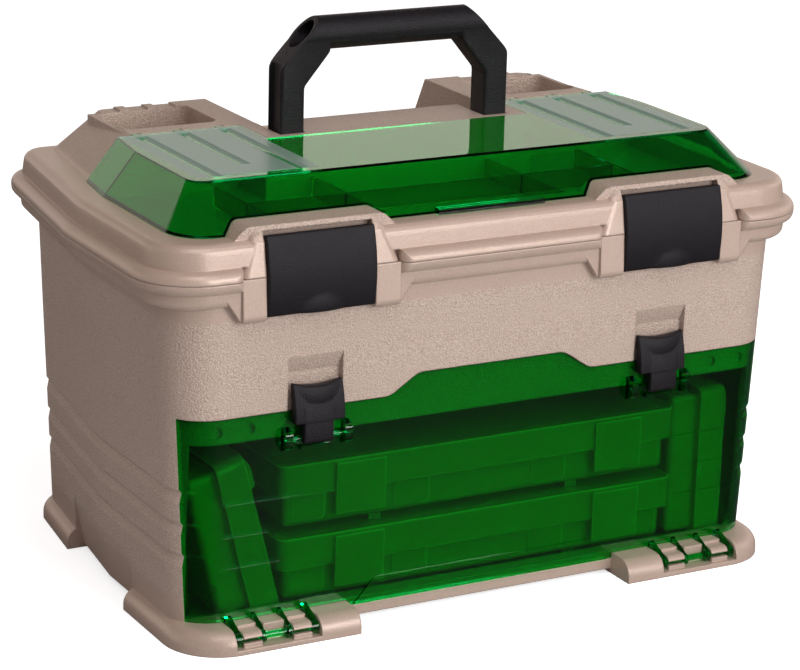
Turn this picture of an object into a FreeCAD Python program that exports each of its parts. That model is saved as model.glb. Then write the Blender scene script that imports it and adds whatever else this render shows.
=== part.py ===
import FreeCAD, Part
import math
import os
import re
import Sketcher

# A moulded tackle cabinet: a tapered case on four corner feet, a see-through front door hinged at the feet,
# a lid hinged at the rear with a see-through top cover and a fold-back handle, and four small parts boxes.
# Millimetres, Z up, the front faces -Y, the floor is z = 0 and the middle of the footprint is x = y = 0.

SIZES = {
    # Case shell
    "base_level": 3.5,
    "parting": 229.5,
    "lid_gap": 0.3,
    "case_half_width": 205.5,
    "case_half_depth": 127,
    "width_draft": 8.2,
    "depth_draft": 4.5,
    "front_round": 28,
    "rear_round": 15,
    "side_taper": 17,
    "seam_forward": 5,
    "seam_round": 120,
    "wall": 3,
    "front_wall": 6.5,
    "groove_depth": 1.6,
    "groove_rise": 2.2,
    "groove_fall": 6.5,
    "groove_low": 56,
    "groove_middle": 76,
    "groove_high": 96.5,
    "overrun": 20,
    # Feet and the hollow in each side between them
    "foot_half_width": 212,
    "foot_front": 148.2,
    "foot_rear": 134,
    "foot_front_round": 36,
    "foot_rear_round": 22,
    "foot_top": 14,
    "foot_edge_round": 10,
    "foot_gap_half": 96.4,
    "foot_side_front": 52,
    "foot_side_rear": 57,
    "foot_rim": 20,
    "side_hollow_top": 36.5,
    "side_hollow_inset": 5,
    "side_hollow_round": 18,
    # Bin, lower room and their floors
    "bin_floor_top": 131,
    "ceiling": 128,
    "room_floor_top": 6.5,
    "room_front": 114,
    "room_round": 14,
    "room_rear_round": 8,
    "room_low_inset": 8,
    "opening_half": 199,
    "opening_low": 15,
    "opening_top": 127,
    # Rim band, bead and latch bulges
    "band_half_width": 224.5,
    "band_half_depth": 136.5,
    "band_front_round": 34,
    "band_rear_round": 20,
    "band_low": 213,
    "band_round": 5,
    "band_slope": 3.5,
    "band_slope_reach": 7,
    "rim_front": 126,
    "bead_reach": 6.2,
    "bead_height": 6.8,
    "bead_round": 6,
    "bulge_inner": 70,
    "bulge_outer": 174,
    "bulge_front": 137.6,
    "bulge_low_front": 139,
    "bulge_low": 203,
    "bulge_step": 10,
    "bulge_round": 4,
    "bulge_root": 122,
    "recess_inner": 86.9,
    "recess_outer": 158.8,
    "recess_back": 131,
    "catch_low": 216,
    "catch_height": 6,
    "catch_front": 134.5,
    "catch_slope": 2,
    "catch_margin": 14,
    "buffer_inner": 164,
    "buffer_outer": 185,
    "buffer_height": 134.5,
    "buffer_radius": 3.6,
    "buffer_depth": 2.5,
    # Front door
    "door_thick": 2.6,
    "door_gap": 0.4,
    "door_side_edge": 116.5,
    "side_edge_gap": 0.3,
    "door_top": 143,
    "door_crown": 155.8,
    "crown_half": 51.6,
    "crown_foot": 71,
    "crown_round": 14,
    "door_low": 11,
    "refill_back": 60,
    "line_low_end": 140,
    "line_middle_end": 150,
    "line_high_end": 128,
    "line_drop": 1,
    "line_height": 0.8,
    "line_depth": 0.5,
    "arch_half": 92,
    "arch_top": 27,
    "arch_slope": 14,
    "arch_rise": 1.2,
    "arch_round": 8,
    # Door hinge at the feet
    "hinge_axis_front": 141,
    "hinge_axis_height": 7.5,
    "rod_radius": 2.1,
    "rod_inner": 123.6,
    "rod_outer": 179.3,
    "outer_tab": 4.6,
    "inner_tab": 2.6,
    "hook_span": 13.2,
    "tab_ring": 4,
    "hinge_play": 0.1,
    "hinge_floor": 3.2,
    "hinge_back": 135.4,
    "hinge_slot_back": 126.5,
    "hook_front": 145.6,
    "hook_top": 12.1,
    "hook_round": 4.5,
    "hook_slot": 3,
    "middle_block_front": 138.4,
    # Door latches
    "latch_pin_front": 133,
    "latch_pin_height": 126,
    "small_pin_radius": 1.2,
    "pin_play": 0.06,
    "ear_inner": 99,
    "ear_outer": 144,
    "ear_thick": 5,
    "ear_low": 118,
    "ear_high": 134,
    "ear_front": 136.4,
    "ear_round": 3,
    "cap_inner": 104.8,
    "cap_outer": 138,
    "cap_low": 136,
    "cap_top": 160.5,
    "cap_front": 132,
    "cap_back": 128.6,
    "neck_inner": 112.5,
    "neck_outer": 132,
    "neck_front": 137.3,
    "neck_round": 3.5,
    "latch_back": 130.4,
    "scoop_inner": 103.6,
    "scoop_outer": 140,
    "scoop_top": 176.5,
    "scoop_knee": 166,
    "scoop_back": 125.8,
    "door_catch_low": 152,
    "door_catch_height": 4,
    "door_catch_front": 127.8,
    "lip_drop": 5.2,
    "lip_thick": 1.6,
    # Rear lid hinge
    "lid_axis_rear": 143,
    "knuckle_radius": 5.2,
    "hinge_centre": 130,
    "hinge_half": 30,
    "lid_knuckle_half": 19,
    "knuckle_gap": 0.3,
    "hinge_margin": 1,
    "lid_pin_radius": 2,
    "web_height": 14,
    "web_thick": 2,
    # Lid
    "shoulder": 251,
    "shoulder_inset": 2,
    "shoulder_round": 6,
    "lid_bulge_top": 258.5,
    "lid_bulge_inner": 78,
    "lid_bulge_outer": 168,
    "lid_bulge_front": 134,
    "lid_bulge_brow": 250,
    "lid_bulge_rear": 107,
    "brow_round": 5,
    "brow_ramp": 9,
    "lid_recess_back": 125.6,
    "lid_recess_top": 255.8,
    "lid_inner_front": 122,
    "hump_front": 36,
    "hump_half_low": 205,
    "hump_half_top": 174,
    "hump_rear_low": 128,
    "hump_rear_top": 112,
    "hump_top": 277.5,
    "gap_half": 82.6,
    "gap_floor": 252,
    "bridge_half": 93.5,
    "bridge_front": 4.4,
    "compartment_floor": 235,
    "compartment_thick": 2.5,
    "compartment_half": 198,
    "compartment_front": 106,
    "compartment_rear": 33,
    "tray_inner": 102,
    "tray_outer": 166,
    "tray_front": 49,
    "tray_rear": 101,
    "tray_floor": 254,
    "tray_round": 7,
    "tray_dip": 13,
    "tray_dip_depth": 1.2,
    # Handle
    "handle_axis_rear": 11,
    "handle_axis_height": 267.5,
    "leg_inner": 65,
    "leg_outer": 82,
    "leg_half_depth": 10,
    "leg_shoulder": 318,
    "leg_inner_shoulder": 306,
    "grip_radius": 10.75,
    "grip_height": 338.25,
    "grip_bore": 8,
    "grip_end": 53,
    "grip_root": 47,
    "slot_gap": 0.3,
    "slot_floor_gap": 0.5,
    "handle_pin_radius": 2.5,
    "handle_pin_hold": 4,
    # Top cover
    "cover_thick": 2.4,
    "cover_front_low": 120,
    "cover_front_top": 88.6,
    "cover_half_low": 205,
    "cover_half_top": 183.5,
    "cover_foot_round": 24,
    "cover_top_round": 10,
    "cover_rear": 33,
    "cover_gap": 0.4,
    "cover_axis_rear": 36.4,
    "cover_axis_height": 274.6,
    "cover_knuckle_radius": 2.8,
    "cover_knuckle_half": 3,
    "cover_pocket_gap": 0.5,
    "cover_knuckle_inner": 108,
    "cover_knuckle_pitch": 28.5,
    "cover_pin_hold": 6,
    "tab_half": 37,
    "tab_front": 123.5,
    "tab_height": 3.2,
    "panel_front": 82,
    "panel_middle_front": 60,
    "panel_rear": 29,
    "channel_radius": 8,
    "channel_depth": 1.3,
    "groove_line": 0.6,
    # Main latches
    "main_pin_front": 131.5,
    "main_pin_height": 250,
    "main_pin_radius": 1.6,
    "main_knuckle": 3.3,
    "main_pin_hold": 4,
    "main_inner": 87.2,
    "main_outer": 158.5,
    "main_thick": 3,
    "main_top": 254,
    "main_top_front": 135,
    "main_middle": 230,
    "main_middle_front": 139.3,
    "main_low": 205.3,
    "main_low_front": 140,
    "main_flange": 2.5,
    "main_flange_back": 133.5,
    "main_rib_low": 213,
    "main_rib_height": 3,
    "main_rib_back": 134.9,
    # Compartment and bin dividers
    "divider": 2,
    "divider_gap": 0.3,
    "divider_top": 250,
    "divider_inner": 62,
    "divider_outer": 130,
    # Parts boxes
    "box_wall": 1.8,
    "box_lip": 5,
    "box_round": 6,
    "box_bottom_wall": 3,
    "box_bottom_round": 4,
    "box_panel_inner": 37,
    "box_panel_middle": 62,
    "box_panel_outer": 110,
    "box_panel_end": 133,
    "box_panel_rise": 1.2,
    "box_panel_round": 3,
    "box_brow_rise": 5,
    "box_brow_round": 13,
    "box_brow_reach": 25,
    "box_play": 0.3,
    "large_length": 285,
    "large_centre": 7,
    "large_depth": 184,
    "large_height": 42,
    "large_lid": 15.5,
    "small_length": 178,
    "small_depth": 104,
    "small_height": 38,
    "small_lid": 14,
    "box_front": 112,
    "box_foot": 5,
    "box_foot_width": 8,
    "box_seat_gap": 0.3,
    "box_latch_width": 34,
    "box_latch_height": 33,
    "box_latch_thick": 1.8,
    "box_latch_offset": 93,
    "box_divider_drop": 1,
    "small_box_right": 149.9,
    "small_box_left": 172.5,
    "small_box_middle": 23,
}
GROOVES = ("groove_low", "groove_middle", "groove_high")
FLAT = 1e-6
ROUND_STEPS = 4
quarter_shares = [(math.sin(math.pi / 2 * step / ROUND_STEPS), 1 - math.cos(math.pi / 2 * step / ROUND_STEPS))
                  for step in range(ROUND_STEPS + 1)]
SIDES = {"left": "-", "right": ""}

doc = FreeCAD.newDocument("tackle_cabinet")
nodes = []
sheet = doc.addObject("Spreadsheet::Sheet", "Sizes")
for row, (alias, size) in enumerate(SIZES.items(), start=1):
    sheet.set(f"A{row}", alias)
    sheet.set(f"B{row}", str(size))
    sheet.setAlias(f"B{row}", alias)
doc.recompute()


# Sums of named sizes


def bound(text):
    """The sum as an expression on the sheet's cells."""
    return re.sub(r"[a-z]\w*", lambda word: f"Sizes.{word.group(0)}", text)


def value(text):
    """The sum's value now."""
    return float(sheet.evalExpression(bound(text)))


def narrowing(y):
    """How far the side walls have drawn in at y, behind the seam."""
    return f"side_taper * (({y}) + seam_forward) / (case_half_depth + seam_forward)"


# Sketches


def pin_point(sketch, index, x, y):
    for kind, text in (("DistanceX", x), ("DistanceY", y)):
        number = sketch.addConstraint(Sketcher.Constraint(kind, -1, 1, index, 1, value(text)))
        sketch.setExpression(f"Constraints[{number}]", bound(text))


def rounded_corner(before, corner, after, radius):
    """The arc that rounds a corner, its trim along each side, and whether it turns left."""
    back = (before - corner).normalize()
    ahead = (after - corner).normalize()
    half_angle = back.getAngle(ahead) / 2
    trim = radius / math.tan(half_angle)
    centre = corner + (back + ahead).normalize() * (radius / math.sin(half_angle))
    left = (corner - before).cross(after - corner).z > 0
    start = corner + (back if left else ahead) * trim
    end = corner + (ahead if left else back) * trim
    first = math.atan2(start.y - centre.y, start.x - centre.x)
    last = math.atan2(end.y - centre.y, end.x - centre.x)
    if last < first:
        last += 2 * math.pi
    circle = Part.Circle(centre, FreeCAD.Vector(0, 0, 1), radius)
    return Part.ArcOfCircle(circle, first, last), trim, left


def draw_outline(sketch, corners):
    """A closed outline through corners (x, y) or (x, y, radius), each a sum of named sizes."""
    points = [FreeCAD.Vector(value(corner[0]), value(corner[1]), 0) for corner in corners]
    count = len(points)
    rounds = {}
    for i, corner in enumerate(corners):
        if len(corner) > 2:
            rounds[i] = rounded_corner(points[i - 1], points[i], points[(i + 1) % count], value(corner[2]))
    marks = [sketch.addGeometry(Part.Point(point), True) for point in points]
    lines = []
    for i, point in enumerate(points):
        after = points[(i + 1) % count]
        along = (after - point).normalize()
        start = point + along * (rounds[i][1] if i in rounds else 0)
        end = after - along * (rounds[(i + 1) % count][1] if (i + 1) % count in rounds else 0)
        lines.append(sketch.addGeometry(Part.LineSegment(start, end)))
    arcs = {i: sketch.addGeometry(rounds[i][0]) for i in rounds}
    rules = []
    for i in range(count):
        before, after = lines[i - 1], lines[i]
        if i in arcs:
            start, end = (1, 2) if rounds[i][2] else (2, 1)
            rules.append(Sketcher.Constraint("PointOnObject", marks[i], 1, before))
            rules.append(Sketcher.Constraint("PointOnObject", marks[i], 1, after))
            rules.append(Sketcher.Constraint("Tangent", before, 2, arcs[i], start))
            rules.append(Sketcher.Constraint("Tangent", arcs[i], end, after, 1))
        else:
            rules.append(Sketcher.Constraint("Coincident", before, 2, marks[i], 1))
            rules.append(Sketcher.Constraint("Coincident", after, 1, marks[i], 1))
    sketch.addConstraint(rules)
    for i, arc in arcs.items():
        number = sketch.addConstraint(Sketcher.Constraint("Radius", arc, value(corners[i][2])))
        sketch.setExpression(f"Constraints[{number}]", bound(corners[i][2]))
    for i, corner in enumerate(corners):
        pin_point(sketch, marks[i], corner[0], corner[1])


def draw_circle(sketch, x, y, radius):
    centre = FreeCAD.Vector(value(x), value(y), 0)
    index = sketch.addGeometry(Part.Circle(centre, FreeCAD.Vector(0, 0, 1), value(radius)))
    number = sketch.addConstraint(Sketcher.Constraint("Radius", index, value(radius)))
    sketch.setExpression(f"Constraints[{number}]", bound(radius))
    for kind, text in (("DistanceX", x), ("DistanceY", y)):
        number = sketch.addConstraint(Sketcher.Constraint(kind, -1, 1, index, 3, value(text)))
        sketch.setExpression(f"Constraints[{number}]", bound(text))


def rectangle(left, right, low, high, *radius):
    return [(left, low, *radius), (right, low, *radius), (right, high, *radius), (left, high, *radius)]


def sketch_at(body, plane, level, outlines):
    """A sketch on one of the body's own origin planes, moved along the plane's normal."""
    sketch = body.newObject("Sketcher::SketchObject", body.Label + "_sketch")
    origin_plane = next(item for item in body.Origin.OriginFeatures if item.Role == plane + "_Plane")
    sketch.AttachmentSupport = (origin_plane, "")
    sketch.MapMode = "FlatFace"
    sketch.setExpression("AttachmentOffset.Base.z", bound(level))
    for shape in outlines:
        if isinstance(shape, tuple):
            draw_circle(sketch, *shape)
        else:
            draw_outline(sketch, shape)
    return sketch


# Features


def new_body(label):
    body = doc.addObject("PartDesign::Body", label)
    body.Label = label
    return body


def new_node(label):
    """A body that is a sub-part of its own."""
    nodes.append(new_body(label))
    return nodes[-1]


def build_up(label, first, *steps):
    """A sub-part made by fusing tool bodies onto a first body, or cutting them from it, in turn."""
    result = first
    for number, (kind, tool) in enumerate(steps, start=1):
        step = doc.addObject("Part::" + kind, f"{label}_step_{number}")
        step.Base = result
        step.Tool = tool
        result = step
    result.Label = label
    nodes.append(result)


def straight(body, kind, plane, low, high, outlines):
    """A pad or pocket between two levels. The XZ plane's normal is -Y, so its levels are given along Y."""
    start = f"-({high})" if plane == "XZ" else low
    feature = body.newObject("PartDesign::" + kind, f"{body.Label}_{kind.lower()}")
    feature.Profile = sketch_at(body, plane, start, outlines)
    feature.setExpression("Length", bound(f"({high}) - ({low})"))
    feature.Reversed = kind == "Pocket"
    return feature


def pad(body, plane, low, high, *outlines):
    return straight(body, "Pad", plane, low, high, outlines)


def pocket(body, plane, low, high, *outlines):
    return straight(body, "Pocket", plane, low, high, outlines)


def loft(body, kind, sections):
    """A ruled loft through outlines at their levels, added or cut."""
    sketches = [sketch_at(body, "XY", level, [corners]) for level, corners in sections]
    feature = body.newObject(f"PartDesign::{kind}Loft", body.Label + "_loft")
    feature.Profile = sketches[0]
    feature.Sections = sketches[1:]
    feature.Ruled = True
    return feature


def rim_edges(feature, level):
    """The edges round the widest flat face at a level."""
    doc.recompute()
    height = value(level)
    shape = feature.Shape
    boxes = [(face, face.BoundBox) for face in shape.Faces]
    flat = [face for face, box in boxes if max(abs(box.ZMin - height), box.ZLength) < FLAT]
    rim = max(flat, key=lambda face: face.OuterWire.BoundBox.DiagonalLength).OuterWire.Edges
    return [f"Edge{n}" for n, edge in enumerate(shape.Edges, 1) if any(edge.isSame(own) for own in rim)]


def fillet(body, feature, edges, radius):
    result = body.newObject("PartDesign::Fillet", body.Label + "_fillet")
    result.Base = (feature, edges)
    result.setExpression("Radius", bound(radius))
    return result


def slider(label, plane, low, high, *outlines):
    """A body that is one straight pad."""
    pad(new_node(label), plane, low, high, *outlines)


# Plans shared by the case, the lid and the door


def plan(half_width, front, rear, front_radius, rear_radius):
    """The case's plan: parallel sides in front of the seam, drawn in behind it."""
    rear_half = f"{half_width} - {narrowing(rear)}"
    return [
        (f"-({half_width})", f"-({front})", front_radius),
        (half_width, f"-({front})", front_radius),
        (half_width, "-seam_forward", "seam_round"),
        (rear_half, rear, rear_radius),
        (f"-({rear_half})", rear, rear_radius),
        (f"-({half_width})", "-seam_forward", "seam_round"),
    ]


def half_width_at(z):
    return f"case_half_width + width_draft * ({z}) / parting"


def half_depth_at(z):
    return f"case_half_depth + depth_draft * ({z}) / parting"


def wall_plan(z, inset="0", pinch="0"):
    """The case's outside at a level, moved in by an inset, and by a pinch at the sides only."""
    half = f"{half_width_at(z)} - ({inset}) - ({pinch})"
    depth = f"{half_depth_at(z)} - ({inset})"
    return plan(half, depth, depth, f"front_round - ({inset})", f"rear_round - ({inset})")


def grooved_wall(body, low, high):
    levels = [(low, "0")]
    for groove in GROOVES:
        levels += [(f"{groove} - groove_fall", "0"), (groove, "groove_depth")]
        levels.append((f"{groove} + groove_rise", "0"))
    levels.append((high, "0"))
    return loft(body, "Additive", [(z, wall_plan(z, pinch=pinch)) for z, pinch in levels])


def door_outline(gap):
    """The door seen from the front, grown by a gap; its sides run past the corners of the case."""
    reach = "band_half_width + overrun"
    low = f"foot_top + door_gap - ({gap})"
    centre_low = f"door_low - ({gap})"
    centre_half = f"foot_gap_half - door_gap + ({gap})"
    top = f"door_top + ({gap})"
    crown = f"door_crown + ({gap})"
    right = [(centre_half, centre_low), (centre_half, low), (reach, low), (reach, top)]
    right += [("crown_foot", top, "crown_round"), ("crown_half", crown, "crown_round")]
    return right + [(f"-({corner[0]})", *corner[1:]) for corner in reversed(right)]


def tab_ranges():
    """Where the door's hinge tabs lie along x on the right."""
    second = "rod_inner + outer_tab + hook_span"
    third = "rod_outer - outer_tab - hook_span"
    return [
        ("rod_inner", "rod_inner + outer_tab"),
        (second, f"{second} + inner_tab"),
        (f"{third} - inner_tab", third),
        ("rod_outer - outer_tab", "rod_outer"),
    ]


def span(sign, low, high):
    """A range along x, on the right or mirrored to the left."""
    return (f"-({high})", f"-({low})") if sign else (low, high)


# Case body


def case_feet(body):
    plate = pad(body, "XY", "0", "foot_top",
                plan("foot_half_width", "foot_front", "foot_rear", "foot_front_round", "foot_rear_round"))
    fillet(body, plate, rim_edges(plate, "foot_top"), "foot_edge_round")
    far = "foot_front + overrun"
    wide = "foot_half_width + overrun"
    above = "foot_top + overrun"
    pocket(body, "XY", "-overrun", above, rectangle("-foot_gap_half", "foot_gap_half", f"-({far})", far))
    pocket(body, "XY", "-overrun", above,
           rectangle(f"-({wide})", wide, "-foot_side_front", "foot_side_rear"))
    inner_half = "case_half_width - foot_rim"
    inner_depth = "case_half_depth - foot_rim"
    grooved_wall(body, "base_level", "parting")
    pocket(body, "XY", "-overrun", "base_level",
           rectangle(f"-({inner_half})", inner_half, f"-({inner_depth})", inner_depth))


def case_side_hollows(body):
    wide = "foot_half_width + overrun"
    low = "base_level - overrun"
    pocket(body, "YZ", f"-({wide})", wide, [
        ("-foot_side_front", low), ("foot_side_rear", low), ("foot_side_rear", "side_hollow_top"),
        ("-foot_side_front", "side_hollow_top", "side_hollow_round")])
    sections = []
    for level, inset in (("base_level", "side_hollow_inset"), ("side_hollow_top", "0")):
        half = f"{half_width_at(level)} - {inset}"
        back = "foot_side_rear + wall"
        rear_half = f"{half} - {narrowing(back)}"
        front = "-(foot_side_front + wall)"
        sections.append((level, [
            (f"-({half})", front), (half, front), (half, "-seam_forward"), (rear_half, back),
            (f"-({rear_half})", back), (f"-({half})", "-seam_forward")]))
    loft(body, "Additive", sections)


def case_door_rebate(body):
    pocket(body, "XZ", "-(foot_front + overrun)", "-(door_side_edge - side_edge_gap)",
           door_outline("door_gap"))
    sections = []
    for level in ("door_low - door_gap", "door_crown + door_gap"):
        inset = "(door_thick + door_gap)"
        half = f"{half_width_at(level)} - {inset}"
        front = f"-({half_depth_at(level)} - {inset})"
        radius = f"front_round - {inset}"
        sections.append((level, [
            (f"-({half})", front, radius), (half, front, radius), (half, "-refill_back"),
            (f"-({half})", "-refill_back")]))
    loft(body, "Additive", sections)


def case_band(body):
    levels = [("band_low - band_slope", "band_round + band_slope_reach")]
    for rise_share, inset_share in reversed(quarter_shares):
        levels.append((f"band_low + band_round * {1 - rise_share:.6f}", f"band_round * {inset_share:.6f}"))
    levels.append(("parting", "0"))
    loft(body, "Additive", [(level, band_plan(inset)) for level, inset in levels])
    bead_low = "parting - bead_height"
    bead = pad(body, "XY", bead_low, "parting", band_plan("-bead_reach"))
    fillet(body, bead, rim_edges(bead, bead_low), "bead_round")
    cut_bead(body, bead_low, "parting")


def band_plan(inset):
    """The rim band's outside, moved in by an inset."""
    depth = f"band_half_depth - ({inset})"
    return plan(f"band_half_width - ({inset})", depth, depth, f"band_front_round - ({inset})",
                f"band_rear_round - ({inset})")


def cut_bead(body, low, high):
    """Stops the bead at the latch bulges and at the rear hinges."""
    beyond = "band_half_depth + bead_reach + overrun"
    brow = "-(band_half_depth + bead_reach)"
    breaks = []
    for sign in SIDES.values():
        right = [("bulge_outer", "-(band_half_depth - band_round)"), ("bulge_outer", brow, "bead_round"),
                 ("bulge_outer + overrun / 2", brow), ("bulge_outer + overrun / 2", f"-({beyond})")]
        left = [(x.replace("outer +", "inner -").replace("outer", "inner"), *rest) for x, *rest in right]
        breaks.append([(f"{sign}({x})", *rest) for x, *rest in right + left[::-1]])
        x = span(sign, *hinge_range("hinge_half + hinge_margin"))
        breaks.append(rectangle(*x, "band_half_depth", beyond))
    pocket(body, "XY", low, high, *breaks)


def hinge_range(half):
    return f"hinge_centre - ({half})", f"hinge_centre + {half}"


def case_bulges(body):
    for sign in SIDES.values():
        outline = [
            ("bulge_inner - bulge_step", "band_low + band_round"), ("bulge_inner", "bulge_low"),
            ("bulge_outer", "bulge_low"), ("bulge_outer + bulge_step", "band_low + band_round")]
        pad(body, "XZ", "-band_half_depth", "-bulge_root", [(f"{sign}({x})", z) for x, z in outline])
        pad(body, "YZ", *span(sign, "bulge_inner", "bulge_outer"), [
            ("-bulge_root", "bulge_low"), ("-bulge_low_front", "bulge_low", "bulge_round"),
            ("-bulge_front", "parting"), ("-bulge_root", "parting")])


def case_buffer_holes(body):
    """Blind round holes in the front, behind the door's top corners."""
    for sign in SIDES.values():
        for place in ("buffer_inner", "buffer_outer"):
            pad(body, "XZ", f"-({half_depth_at('buffer_height')})", "-(case_half_depth - buffer_depth)",
                (f"{sign}{place}", "buffer_height", "buffer_radius"))


def case_rooms(body):
    """The upper bin, the wider rim over it, the lower room and its front opening."""
    above = "parting + overrun"
    bin_levels = []
    for level in ("bin_floor_top", above):
        half = f"{half_width_at(level)} - wall"
        depth = half_depth_at(level)
        bin_levels.append((level, plan(half, f"{depth} - front_wall", f"{depth} - wall",
                                       "front_round - front_wall", "rear_round - wall")))
    loft(body, "Additive", bin_levels)
    pad(body, "XY", "band_low + wall", above,
        plan("band_half_width - wall", "rim_front", "band_half_depth - wall",
             "band_front_round - wall", "band_rear_round - wall"))
    room_levels = []
    levels = (("room_floor_top", "room_low_inset"), ("side_hollow_top", "wall"), ("ceiling", "wall"))
    for level, inset in levels:
        half = f"{half_width_at(level)} - {inset}"
        rear = f"{half_depth_at(level)} - wall"
        room_levels.append((level, plan(half, "room_front", rear, "room_round", "room_rear_round")))
    loft(body, "Additive", room_levels)
    pad(body, "XZ", "-(foot_front + overrun)", "-(room_front - room_round)",
        rectangle("-opening_half", "opening_half", "opening_low", "opening_top"))


def case_recesses(body):
    """The hollows for the main latches and, lower down, for the door latches."""
    outside = "-(bulge_low_front + overrun)"
    for sign in SIDES.values():
        pad(body, "XY", "bulge_low - overrun", "parting + overrun",
            rectangle(*span(sign, "recess_inner", "recess_outer"), outside, "-recess_back"))
        pad(body, "YZ", *span(sign, "scoop_inner", "scoop_outer"), [
            (outside, "door_top"), ("-scoop_back", "door_top"), ("-scoop_back", "scoop_knee"),
            (f"-({half_depth_at('scoop_top')})", "scoop_top"), (outside, "scoop_top")])


def case_hinge_notches(body):
    """Notches in the two front feet for the door's rods, and slots for its tabs."""
    front = "-(foot_front + overrun)"
    above = "foot_top + overrun"
    for sign in SIDES.values():
        ends = span(sign, "rod_inner - door_gap", "rod_outer + door_gap")
        pad(body, "YZ", *ends, rectangle(front, "-hinge_back", "hinge_floor", above))
        for low, high in tab_ranges():
            pad(body, "YZ", *span(sign, f"{low} - door_gap", f"{high} + door_gap"),
                rectangle(front, "-hinge_slot_back", "hinge_floor", above))


def case_catches(body):
    for sign in SIDES.values():
        low, high = "catch_low", "catch_low + catch_height"
        pad(body, "YZ", *span(sign, "recess_inner + catch_margin", "recess_outer - catch_margin"), [
            ("-bulge_root", low), ("-recess_back", low), ("-catch_front", f"{low} + catch_slope"),
            ("-catch_front", f"{high} - catch_slope"), ("-recess_back", high), ("-bulge_root", high)])
        low, high = "door_catch_low", "door_catch_low + door_catch_height"
        root = "-(scoop_back - wall / 2)"
        pad(body, "YZ", *span(sign, "neck_inner", "neck_outer"), [
            (root, low), ("-scoop_back", low), ("-door_catch_front", f"{low} + door_catch_height / 2"),
            ("-scoop_back", high), (root, high)])


def case_lid_knuckles(body):
    root = "band_half_depth - web_thick"
    for sign in SIDES.values():
        for low, high in (("hinge_centre - hinge_half", "hinge_centre - lid_knuckle_half - knuckle_gap"),
                          ("hinge_centre + lid_knuckle_half + knuckle_gap", "hinge_centre + hinge_half")):
            x = span(sign, low, high)
            pad(body, "YZ", *x, [
                (root, "parting"), (root, "parting - web_height"),
                ("band_half_depth + web_thick", "parting - web_height"),
                ("lid_axis_rear + knuckle_radius", "parting")])
            pad(body, "YZ", *x, ("lid_axis_rear", "parting", "knuckle_radius"))
        pocket(body, "YZ", *span(sign, *hinge_range("hinge_half + hinge_margin")),
               ("lid_axis_rear", "parting", "lid_pin_radius + pin_play"))


def case_door_hooks(body):
    """The hooks round the door's rods and the blocks between them, from the floor of each notch."""
    front = "-(foot_front + overrun)"
    low = "hinge_floor / 2"
    for sign in SIDES.values():
        ends = span(sign, "rod_inner - door_gap", "rod_outer + door_gap")
        tabs = tab_ranges()
        for before, after in ((tabs[0], tabs[1]), (tabs[2], tabs[3])):
            pad(body, "YZ", *span(sign, f"{before[1]} + door_gap", f"{after[0]} - door_gap"), [
                ("-hinge_slot_back", low), ("-hook_front", low), ("-hook_front", "hook_top", "hook_round"),
                ("-hinge_slot_back", "hook_top")])
        pad(body, "YZ", *span(sign, f"{tabs[1][1]} + door_gap", f"{tabs[2][0]} - door_gap"),
            rectangle("-middle_block_front", "-hinge_slot_back", low, "foot_top"))
        pocket(body, "YZ", *ends, ("-hinge_axis_front", "hinge_axis_height", "rod_radius + hinge_play"))
        pocket(body, "YZ", *ends, rectangle(front, "-hinge_axis_front", "hinge_axis_height - hook_slot / 2",
                                            "hinge_axis_height + hook_slot / 2"))


def make_case():
    shell = new_body("case_shell")
    case_feet(shell)
    case_side_hollows(shell)
    case_door_rebate(shell)
    case_band(shell)
    bulges = new_body("case_bulges")
    case_bulges(bulges)
    hollows = new_body("case_hollows")
    case_rooms(hollows)
    case_recesses(hollows)
    case_buffer_holes(hollows)
    case_hinge_notches(hollows)
    fittings = new_body("case_fittings")
    case_catches(fittings)
    case_lid_knuckles(fittings)
    case_door_hooks(fittings)
    build_up("case_body", shell, ("Fuse", bulges), ("Cut", hollows), ("Fuse", fittings))


# Front door


def door_sheet(body):
    """The bent sheet: the case's own outside, hollowed, then trimmed to the door's outline."""
    grooved_wall(body, "door_low", "door_crown + door_gap")
    below = "door_low - overrun / 2"
    above = "door_crown + overrun"
    loft(body, "Subtractive", [(level, wall_plan(level, inset="door_thick")) for level in (below, above)])
    wide = "foot_half_width + overrun"
    pocket(body, "XY", below, above, rectangle(f"-({wide})", wide, "-door_side_edge", "foot_front"))
    crown = [("crown_half", "door_crown", "crown_round"), ("crown_foot", "door_top", "crown_round"),
             (wide, "door_top"), (wide, above)]
    trims = [crown + [(f"-({x})", *rest) for x, *rest in reversed(crown)]]
    for sign in SIDES.values():
        trims.append(rectangle(*span(sign, "foot_gap_half - door_gap", wide), below, "foot_top + door_gap"))
    pocket(body, "XZ", "-(foot_front + overrun)", "0", *trims)
    door_lines(body)


def door_lines(body):
    """Fine lines that carry the side grooves on across the front."""
    for groove, end in zip(GROOVES, ("line_low_end", "line_middle_end", "line_high_end")):
        top = f"{groove} - groove_fall - line_drop"
        surface = half_depth_at(top)
        corner = f"{half_width_at(top)} - front_round"
        pocket(body, "XZ", f"-({surface} + wall)", f"-({surface} - line_depth)",
               *[rectangle(*span(sign, end, corner), f"{top} - line_height", top) for sign in SIDES.values()])


def door_arch(body):
    arch = [
        ("-arch_half", "door_low"), ("arch_half", "door_low"),
        ("arch_half - arch_slope", "arch_top", "arch_round"),
        ("-(arch_half - arch_slope)", "arch_top", "arch_round")]
    surface = half_depth_at("door_low")
    pad(body, "XZ", f"-({surface} + arch_rise)", f"-({surface} - door_thick / 2)", arch)


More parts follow.
